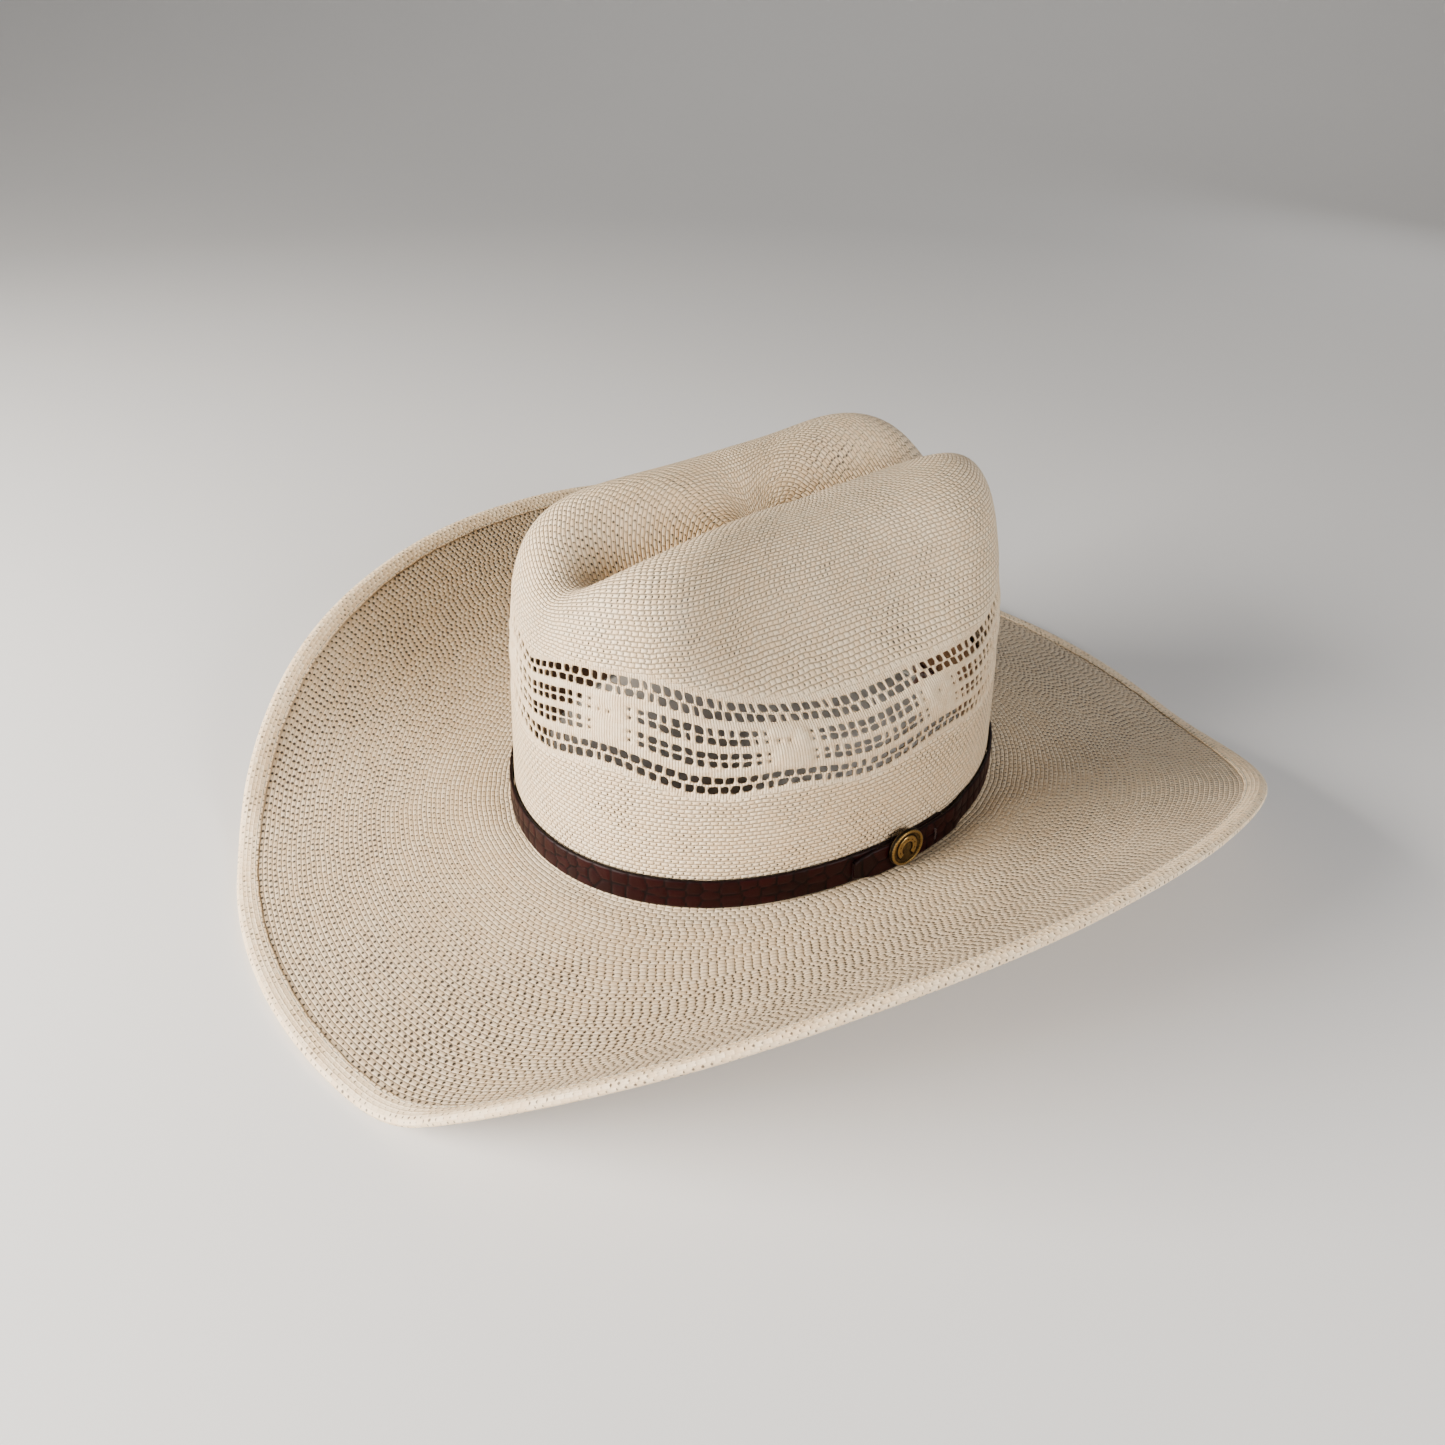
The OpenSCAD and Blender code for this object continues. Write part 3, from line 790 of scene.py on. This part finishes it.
def edge_strip(mat):
    """Folded straw strip sewn over the brim's edge, drawn in along its stitches."""
    n = 720
    t = turn_angle(np.arange(n)/n)
    pinch = np.where(np.arange(n) % 2 == 0, 1.0, 0.0)
    # section: distance in from the rim, offset from the straw's middle, pull of the stitches
    top = [(8.0, 1.1, 0), (8.05, 1.3, 0), (7.8, 1.52, 0), (7.4, 1.62, 0), (SEAM_IN, 1.5, 0.16),
           (6.6, 1.62, 0), (5.6, 1.66, 0), (4.2, 1.66, 0), (3.0, 1.62, 0), (2.0, 1.5, 0),
           (1.2, 1.2, 0), (0.55, 0.72, 0), (0.15, 0.2, 0), (0.0, -0.3, 0)]
    low = [(0.15, -0.9, 0), (0.55, -1.32, 0), (1.2, -1.68, 0), (2.0, -1.9, 0), (3.0, -2.0, 0),
           (4.2, -2.05, 0), (5.6, -2.05, 0), (6.6, -2.03, 0), (SEAM_IN, -1.78, -0.3),
           (7.4, -2.02, 0), (7.8, -1.9, 0), (8.05, -1.6, 0), (8.0, -1.1, 0)]
    inner = [(4.2, -1.15, 0), (1.0, -1.15, 0), (1.0, 1.15, 0), (4.2, 1.15, 0)]
    section = top + low + inner
    ripple = 0.12*np.sin(np.arange(n)*0.9) + 0.1*np.sin(np.arange(n)*0.37 + 1)
    rows = [brim_off(t, brim_width(t) - d - (ripple if d > 7.5 else 0.0), o - p*pinch)
            for d, o, p in section]
    rows = np.transpose(np.array(rows), (1, 0, 2))
    steps = [math.hypot(a[0] - b[0], a[1] - b[1]) for a, b in zip(section[:-1], section[1:])]
    dist = np.cumsum([0.0] + steps + [4.0])
    uv = [(turn/n, v) for j in range(n) for v0, v1 in zip(dist[:-1], dist[1:])
          for turn, v in ((j, v0), (j + 1, v0), (j + 1, v1), (j, v1))]
    bake = sum(banded_uv(n, n, dist/dist[-1], 12), [])
    return make("edge_strip", rows.reshape(-1, 3), sweep(rows), {"weave": uv, "OFBake": bake},
                mat=mat)


def stitch_row(name, path, normal, length, radius, mat, sides=5):
    """Row of thread stitches: each rises from the cloth, runs along it and dives back in.
    path holds the start points and the end points, normal the outward directions."""
    verts, faces = [], []
    # place along the stitch, height in thread widths, share of the radius
    steps = [(-0.5, -0.55, 0.55), (-0.42, -0.05, 0.9), (-0.15, 0.16, 1.0), (0.15, 0.16, 1.0),
             (0.42, -0.05, 0.9), (0.5, -0.55, 0.55)]
    for p, q, nrm in zip(path[0], path[1], normal):
        d = q - p
        d = d/np.linalg.norm(d)
        side = np.cross(nrm, d)
        mid = (p + q)/2
        start = len(verts)
        for a, up, w in steps:
            c = mid + d*length*a + nrm*up*radius*2
            for k in range(sides):
                ang = TAU*k/sides
                verts.append(c + (side*math.cos(ang) + nrm*math.sin(ang))*radius*w)
        end = start + (len(steps) - 1)*sides
        faces += [(i + k, i + (k + 1) % sides, i + sides + (k + 1) % sides, i + sides + k)
                  for i in range(start, end, sides) for k in range(sides)]
        faces += [tuple(range(start, start + sides))[::-1], tuple(range(end, end + sides))]
    return make(name, np.array(verts), faces, mat=mat)


def edge_stitches(name, side, mat):
    """Stitches of the edge seam: side is 1 on top and -1 underneath."""
    n = 360
    u = (np.arange(n) + 0.5)/n
    off = 1.5 if side > 0 else -1.84
    ends = [turn_angle(u + e/n) for e in (-0.4, 0.4)]
    path = [brim_off(t, brim_width(t) - SEAM_IN, off + 0*t) for t in ends]
    t = turn_angle(u)
    up = [brim_off(t, brim_width(t) - SEAM_IN, o + 0*t) for o in (0.0, 1.0)]
    return stitch_row(name, path, (up[1] - up[0])*side, 2.7, 0.19, mat)


# ---- head lining
def wall_sweep(name, section, mat, wave=0.0, degrees=None):
    """Section of (offset, height, wave share) swept round the crown wall: all round, or with
    its ends capped from one angle to another (start, end, number of points)."""
    closed = degrees is None
    t = turn_angle(np.arange(COLS)/COLS) if closed else np.radians(np.linspace(*degrees))
    rows = [wall(t, o + 0*t, h + w*wave*np.sin(9*t + 0.6)*np.sin(4*t)) for o, h, w in section]
    rows = np.transpose(np.array(rows), (1, 0, 2))
    return make(name, rows.reshape(-1, 3), sweep(rows, closed, not closed),
                {"OFBake": sweep_uv(*rows.shape[:2], closed, not closed)}, mat=mat)


def sweatband(mat):
    """Leather band with a rolled top edge and an embossed line under it."""
    o, i = SB_OUT, SB_IN
    sec = [(i, 1.6, 0), (i, 8, 0), (i, 16, 0.1), (i, 24, 0.3), (i, 31, 0.6), (i, 35.2, 0.9),
           (i + 0.22, 35.7, 0.9), (i, 36.2, 0.9), (i, 38.2, 1), (i + 0.08, 39.3, 1),
           (i + 0.35, 39.9, 1), (o - 0.35, 39.95, 1), (o - 0.08, 39.5, 1), (o, 38.2, 1),
           (o, 30, 0.6), (o, 16, 0.1), (o, 1.6, 0)]
    return wall_sweep("sweatband_leather", sec, mat, wave=0.35)


def sweatband_bow(mat):
    """Small ribbon bow inside the back of the sweatband: two loops, a knot and two tails."""
    p = wall(np.array(math.pi), np.array(SB_IN - 3.0), np.array(9.0))
    verts, faces = [], []

    def ribbon(rows, closed):
        start = len(verts)
        verts.extend((rows + p).reshape(-1, 3))
        faces.extend(tuple(start + k for k in f) for f in sweep(rows, closed, not closed))

    def loop(xs, ys, ws, thick):
        """Closed ribbon standing on edge along the points (xs, ys), ws its half width."""
        dx, dy = (np.gradient(np.concatenate([q[-1:], q, q[:1]]))[1:-1] for q in (xs, ys))
        ln = np.maximum(np.hypot(dx, dy), 1e-6)
        nx, ny = -dy/ln*thick/2, dx/ln*thick/2
        ribbon(np.stack([np.stack([xs + nx*a, ys + ny*a, ws*b], -1)
                         for a, b in ((1, -1), (1, 1), (-1, 1), (-1, -1))], 1), True)

    a = np.linspace(0, TAU, 26, endpoint=False)
    for side in (-1, 1):
        x = side*(6.4 + 5.6*np.cos(a + math.pi))
        loop(x, 1.35*np.sin(a)*(0.35 + 0.65*np.abs(x)/12), 1.3 + 1.1*ease(np.abs(x)/9), 0.28)
    a = np.linspace(0, TAU, 16, endpoint=False)
    loop(1.9*np.cos(a), 1.5*np.sin(a), 2.0 + 0*a, 0.4)
    for side in (-1, 1):
        ribbon(np.array([[(side*(0.8 + 2.4*q) + w*1.25, -0.7 + 0.35*math.sin(3*q) + d*0.14,
                           -1.5 - 8.2*q + 0.35*w*side*q)
                          for w, d in ((-1, 1), (1, 1), (1, -1), (-1, -1))]
                         for q in np.linspace(0, 1, 8)]), False)
    return make("sweatband_bow_ribbon", np.array(verts), faces, mat=mat)


# ---- hatband and concho
def croc_field(s, h):
    """Distance to the nearest groove between scales and a random value for each scale.
    s runs along the strap, h across it, both in mm."""
    rng = np.random.default_rng(11)
    seeds = []
    x = -8.0
    while x < STRAP_LEN:
        step = rng.uniform(4.2, 7.4)
        split = rng.random()
        # two, three or one scale across the strap: (middle, largest shift)
        if split < 0.55:
            across = [(2.9, 0.5), (8.7, 0.5)]
        elif split < 0.8:
            across = [(2.0, 0.3), (5.8, 0.4), (9.6, 0.3)]
        else:
            across = [(5.8, 0.6)]
        ys = [y + rng.uniform(-shift, shift) for y, shift in across]
        for y in ys:
            seeds.append((x + rng.uniform(-1.1, 1.1), y, rng.random()))
        x += step
    seeds = np.array(seeds)
    seeds = seeds[np.argsort(seeds[:, 0])]
    pts = np.stack([s.ravel(), h.ravel()], -1)
    out_g, out_c = np.empty(len(pts)), np.empty(len(pts))
    chunk, reach = 4000, 16
    for i in range(0, len(pts), chunk):
        q = pts[i:i + chunk]
        lo = np.searchsorted(seeds[:, 0], q[:, 0].min() - reach)
        hi = np.searchsorted(seeds[:, 0], q[:, 0].max() + reach)
        sd = seeds[lo:hi]
        d = np.hypot((q[:, None, 0] - sd[None, :, 0])*0.85, q[:, None, 1] - sd[None, :, 1])
        near = np.argsort(d, 1)[:, :2]
        d = np.take_along_axis(d, near, 1)
        out_g[i:i + chunk] = d[:, 1] - d[:, 0]
        out_c[i:i + chunk] = sd[near[:, 0], 2]
    return out_g.reshape(s.shape), out_c.reshape(s.shape)


def hatband(mat):
    """Leather strap laid once round the crown and lapped over its own start, scales embossed."""
    total = 360 + 2*WRAP
    n, m = 1000, 17
    a = np.linspace(0, total, n)
    t = np.radians(CONCHO_DEG + WRAP - a)
    up = LAYER*ease((a - 349)/8)                    # climbs onto its own start just before it
    tip = 0.22*BAND_H*np.clip(1 - (total - a)/7, 0, 1)**2       # the end is rounded
    x, y = oval(t)
    s = np.concatenate([[0], np.cumsum(np.hypot(np.diff(x), np.diff(y)))])
    f = np.linspace(0, 1, m)
    hh = (tip[:, None] + (BAND_H - 2*tip)[:, None]*f[None, :])
    groove, cell = croc_field(np.repeat(s[:, None], m, 1), hh)
    dip = np.exp(-(groove/0.55)**2)
    edge = np.clip(1 - np.minimum(f, 1 - f)*BAND_H/0.9, 0, 1)[None, :] + 0*hh
    puff = 0.10*np.clip(groove/2.5, 0, 1)
    outer = BAND_I + up[:, None] + BAND_T - 0.34*edge**2 - 0.24*dip*(1 - edge) + puff - 0.06
    inner = BAND_I + up[:, None] + 0.10*edge**2
    tt = np.repeat(t[:, None], m, 1)
    rows = np.concatenate([wall(tt, outer, BAND_Z + hh), wall(tt, inner, BAND_Z + hh)[:, ::-1]], 1)
    attrs = {"groove": (dip, 0.5 + 0*dip), "cell": (cell, 0*cell), "edge": (edge, 1 + 0*dip)}
    bake = banded_uv(n, n - 1, np.arange(2*m + 1)/(2*m), 14)
    bake += [[(0.5 + 0.001*q, 0.5) for q in range(2*m)]]*2
    return make("hatband_leather", rows.reshape(-1, 3),
                [fc[::-1] for fc in sweep(rows, False, True)],
                {"OFBake": [c for fc in bake for c in fc[::-1]]},
                {key: np.concatenate(both, 1).ravel() for key, both in attrs.items()}, mat=mat)


def concho_matrix():
    """Place of the concho: x along the strap, y up the wall, z out along its axis."""
    z = Vector((math.cos(WALL_LEAN), 0, math.sin(WALL_LEAN)))
    y = Vector((-math.sin(WALL_LEAN), 0, math.cos(WALL_LEAN)))
    origin = wall(np.array(math.pi/2), np.array(0.0), np.array(CONCHO_H))
    return np.array([y.cross(z), y, z]), origin


def horseshoe(x, y):
    """Signed distance in mm to a horseshoe band, open side down."""
    ang = np.abs(np.arctan2(x, y))
    d = np.abs(np.hypot(x, y*SHOE_TALL) - SHOE_R) - (1.1 - 0.2*ang/math.pi)
    return np.maximum(d, (ang - 2.45)*3.0)


def concho(mat):
    """Cast brass concho: a roped rim, a sunk field with a horseshoe and seven nail heads."""
    n_a, field_r, rope_r = 168, 5.9, 6.75
    rr = np.concatenate([np.linspace(0, field_r, 34), np.linspace(6.02, CONCHO_R, 15)])
    aa = np.arange(n_a)/n_a*TAU
    r, a = np.meshgrid(rr, aa, indexing="ij")
    x, y = r*np.sin(a), r*np.cos(a)
    d = horseshoe(x, y)
    shoe = ease(-d/0.28 + 0.5)
    crease = np.exp(-((r - SHOE_R)/0.18)**2)*ease(-d/0.2)
    z = 1.15 + 0.15*(1 - (r/field_r)**2) + 0.55*shoe - 0.16*crease
    around = np.exp(-(np.abs(d)/0.35)**2)*(1 - shoe)
    relief = 0.42 + 0.58*shoe - 0.5*crease - 0.4*around
    for an in 0.62*np.arange(-3, 4):
        px, py = SHOE_R*math.sin(an), SHOE_R*math.cos(an)/SHOE_TALL
        nail = np.exp(-(np.hypot(x - px, y - py)/0.28)**2)
        z = z - 0.28*nail
        relief = relief - 0.9*nail
    step = ease((r - 5.95)/0.3)
    rope = np.clip(1 - ((r - rope_r)/0.62)**2, 0, 1)**0.5
    twist = 0.5 + 0.5*np.cos(42*a + 3.2*(r - rope_r))
    out = ease((r - 7.3)/0.3)
    z = z*(1 - step) + (1.3 + rope*(0.55 + 0.12*twist))*step
    z = z*(1 - out) + 0.75*out
    relief = relief*(1 - step) + step*(0.25 + 0.75*rope*(0.45 + 0.55*twist))
    # rings of the rim's side, the back and the post: (radius, height)
    ring = [(CONCHO_R, 0.4), (CONCHO_R - 0.3, 0.05), (2.1, 0.05), (2.0, -0.1), (2.0, -1.6)]
    side = [np.stack([q*np.sin(aa), q*np.cos(aa), h + 0*aa], -1) for q, h in ring]
    pts = np.concatenate([np.stack([x, y, z], -1), side]) + (0, 0, CONCHO_D)
    rel = np.concatenate([np.clip(relief, 0, 1), np.full((len(ring), n_a), 0.4)])
    pts[0] = pts[0].mean(0)
    end = len(pts) - 1
    faces = [(i*n_a + j, (i + 1)*n_a + j, (i + 1)*n_a + (j + 1) % n_a, i*n_a + (j + 1) % n_a)
             for i in range(1, end) for j in range(n_a)]
    faces += [(0, n_a + j, n_a + (j + 1) % n_a) for j in range(n_a)]
    faces.append(tuple(end*n_a + j for j in range(n_a)))
    axes, origin = concho_matrix()
    ob = make("concho_brass", pts.reshape(-1, 3)@axes + origin, faces,
              attrs={"relief": rel.ravel()}, mat=mat)
    clean(ob)
    return ob


def tack(mat):
    """Bar tack: twisted thread between two holes behind the concho."""
    t = np.radians(CONCHO_DEG + 9)
    off = BAND_I + LAYER + BAND_T + 0.3
    nx, ny = outward(t)
    nrm, side = np.array([nx, ny, 0.05]), np.array([-ny, nx, 0.0])
    rows, last = [], 23
    for k in range(last + 1):
        c = wall(t, off + 0.12*math.sin(math.pi*k/last) - 0.35*(k in (0, last)),
                 BAND_Z + BAND_H*(0.3 + 0.4*k/last))
        rows.append([c + (nrm*math.cos(ang) + side*math.sin(ang)*1.4)
                     * 0.34*(0.82 + 0.18*math.cos(2*ang + k*1.1))
                     for ang in TAU*np.arange(10)/10])
    rows = np.array(rows)
    return make("hatband_tack_thread", rows.reshape(-1, 3), sweep(rows, False, True), mat=mat)


# ---- camera, light, floor
CAM_AZ, CAM_EL, CAM_ROLL = math.radians(52.926), math.radians(33.981), math.radians(2.112)
CAM_AIM, CAM_DIST = (0, 0, 0.03787), 0.460157
CAM_SENSOR, CAM_LENS = 36, 28.251
CAM_SHIFT = (-0.02412, -0.00764)


def camera():
    """Camera at the photograph's viewing angle."""
    back = Vector((math.sin(CAM_AZ)*math.cos(CAM_EL), -math.cos(CAM_AZ)*math.cos(CAM_EL),
                   math.sin(CAM_EL)))
    right = Vector((math.cos(CAM_AZ), math.sin(CAM_AZ), 0))
    up = back.cross(right)
    right, up = (right*math.cos(CAM_ROLL) + up*math.sin(CAM_ROLL),
                 up*math.cos(CAM_ROLL) - right*math.sin(CAM_ROLL))
    cam = bpy.data.objects.new("camera", bpy.data.cameras.new("camera"))
    turn = Matrix((right, up, back)).transposed().to_4x4()
    cam.matrix_world = Matrix.Translation(Vector(CAM_AIM) + back*CAM_DIST) @ turn
    cam.data.sensor_width, cam.data.lens = CAM_SENSOR, CAM_LENS
    cam.data.shift_x, cam.data.shift_y = CAM_SHIFT
    cam.data.clip_start = 0.01
    bpy.context.scene.collection.objects.link(cam)
    bpy.context.scene.camera = cam


def area_light(name, place, target, size, power, color):
    data = bpy.data.lights.new(name, "AREA")
    data.shape = "RECTANGLE"
    data.size, data.size_y = size
    data.energy, data.color = power, color
    ob = bpy.data.objects.new(name, data)
    ob.location = place
    ob.rotation_euler = (Vector(target) - Vector(place)).to_track_quat("-Z", "Y").to_euler()
    bpy.context.scene.collection.objects.link(ob)


FLAT_R, FLOOR_R, FLOOR_RISE, FLOOR_SIDES = 1200, 4000, 1900, 64     # floor sizes in mm
FLOOR_GREY, FLOOR_PALE = (0.80, 0.80, 0.80, 1), (0.83, 0.83, 0.83, 1)
SKY_COLOR, SKY_STRENGTH = (0.95, 0.975, 1.0, 1), 0.03
# name, place, point it faces, width and height, watts, colour
LIGHTS = [
    ("key", (-0.25, -1.08, 0.46), (0, 0, 0.06), (0.8, 0.6), 51, (1, 0.935, 0.855)),
    ("side", (1.08, 0.12, 0.56), (0, 0, 0.06), (0.35, 0.35), 11.5, (1, 0.97, 0.95)),
    ("back", (-0.3, 1.3, 0.5), (0, 0, 0.05), (0.6, 0.6), 1.2, (1, 0.98, 0.96)),
    ("backdrop", (-1.0, 0.9, 2.2), (-3.4, 2.7, 0.6), (1.5, 1.0), 10, (1, 1, 1)),
]


def studio():
    """Round floor that is flat under the hat and curves up far behind it, and soft light."""
    k = Nodes("floor_look")
    mat = k.done(k.mix(k.noise(k.obj(), 3.0, 2.0), FLOOR_GREY, FLOOR_PALE), 0.8)
    rad = np.array([0, 600, FLAT_R, 1500, 1900, 2400, 3000, 3600, FLOOR_R], float)
    rise = FLOOR_RISE*np.clip((rad - FLAT_R)/(FLOOR_R - FLAT_R), 0, 1)**2
    ang = np.arange(FLOOR_SIDES)[:, None]/FLOOR_SIDES*TAU
    rows = np.stack([rad*np.cos(ang), rad*np.sin(ang), rise + 0*ang], -1)
    m = len(rad)
    pairs = [(j*m, (j + 1) % FLOOR_SIDES*m) for j in range(FLOOR_SIDES)]
    faces = [(a + q, a + q + 1, b + q + 1, b + q) for a, b in pairs for q in range(1, m - 1)]
    faces += [(0, a + 1, b + 1) for a, b in pairs]
    floor = make("floor", rows.reshape(-1, 3), faces, mat=mat)
    clean(floor)
    floor.location.z = -0.0004
    world = bpy.data.worlds.new("studio")
    bpy.context.scene.world = world
    world.use_nodes = True
    sky = world.node_tree.nodes["Background"]
    sky.inputs["Color"].default_value = SKY_COLOR
    sky.inputs["Strength"].default_value = SKY_STRENGTH
    for light in LIGHTS:
        area_light(*light)


# ---- build
def repaint(node, mat):
    """New material for a part that keeps its CAD shape."""
    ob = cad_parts[node]
    ob.data.materials.clear()
    ob.data.materials.append(mat)


def build():
    camera()
    cream = thread_material("thread_look", rgb(214, 202, 178))
    crown_ob, t = straw_crown(weave_material("straw_crown_look", "crown"))
    finish_piece(crown_ob, "hat", "straw", "straw_body")
    finish_piece(straw_brim(weave_material("straw_brim_look", "brim"), t), "hat", "straw",
                 "straw_body")
    finish_piece(edge_strip(strip_material()), "hat", "straw_strip", "brim_strip")
    for name, side in (("top", 1), ("under", -1)):
        finish_piece(edge_stitches("edge_stitches_" + name, side, cream), "hat", "thread",
                     "edge_thread_" + name)
    lining = leather_material("sweat_leather_look", rgb(150, 112, 76), rgb(128, 92, 60))
    finish_piece(sweatband(lining), "hat", "sweat_leather", "sweatband")
    o, i = -HALF_T, SB_IN - 0.15
    tape = wall_sweep("reed_tape_cotton", [(o - 0.8, -0.4, 0), (o - 0.82, 4, 0), (o - 0.8, 8, 0),
                                           (o - 0.42, 8, 0), (o - 0.4, 4, 0), (o - 0.4, -0.4, 0)],
                      cloth_material("cotton_tape_look", rgb(200, 192, 174), rgb(226, 220, 204)))
    finish_piece(tape, "hat", "cotton_tape", "reed_tape")
    seam = wall_sweep("seam_tape_cotton", [(i, 3, 0), (i - 0.3, 3.1, 0), (i - 0.4, 4, 0),
                                           (i - 0.4, 36, 0), (i - 0.3, 36.9, 0), (i, 37, 0)],
                      leather_material("seam_leather_look", rgb(142, 104, 70), rgb(120, 86, 56)),
                      degrees=(185, 175, 15))
    finish_piece(seam, "hat", "cotton_tape", "sweatband_seam_tape")
    tag = wall_sweep("size_tag_paper", [(i, 10, 0), (i - 0.2, 10, 0), (i - 0.25, 10.3, 0),
                                        (i - 0.25, 31.7, 0), (i - 0.2, 32, 0), (i, 32, 0)],
                     plain_material("tag_look", rgb(232, 230, 222), 0.6), degrees=(210, 196, 18))
    finish_piece(tag, "hat", "tag_paper", "size_tag")
    n = 180
    u = (np.arange(n) + 0.5)/n
    path = [wall(turn_angle(u + e/n), o - 1.2, 3.0) for e in (-0.36, 0.36)]
    nx, ny = outward(turn_angle(u))
    finish_piece(stitch_row("sweatband_stitches", path, np.stack([nx, ny, 0*nx], -1), 2.3, 0.2,
                            cream), "hat", "thread", "sweatband_thread")
    ribbon = cloth_material("ribbon_look", rgb(84, 48, 30), rgb(112, 66, 42), 1600.0, 0.5, 0.45)
    finish_piece(sweatband_bow(ribbon), "hat", "ribbon", "sweatband_bow")
    finish_piece(hatband(croc_material()), "hatband", "croc_leather", "hatband_strap")
    finish_piece(tack(thread_material("dark_thread_look", rgb(48, 16, 18))), "hatband",
                 "dark_thread", "hatband_tack")
    brass = brass_material("concho_brass_look", rgb(146, 119, 70), rgb(18, 13, 7), 0.25, 0.75,
                           cast=True)
    finish_piece(concho(brass), "concho", "concho_brass", "concho")
    repaint("brim_wire", plain_material("wire_look", rgb(170, 170, 170), 0.35, 1.0))
    repaint("wire_sleeve", plain_material("sleeve_look", rgb(190, 190, 192), 0.45, 1.0))
    repaint("sweatband_reed", plain_material("reed_look", rgb(222, 220, 210), 0.5))
    repaint("concho_screw", brass_material("screw_brass_look", rgb(186, 152, 84),
                                           rgb(110, 84, 44), 0.3, 0.7))
    studio()


build()
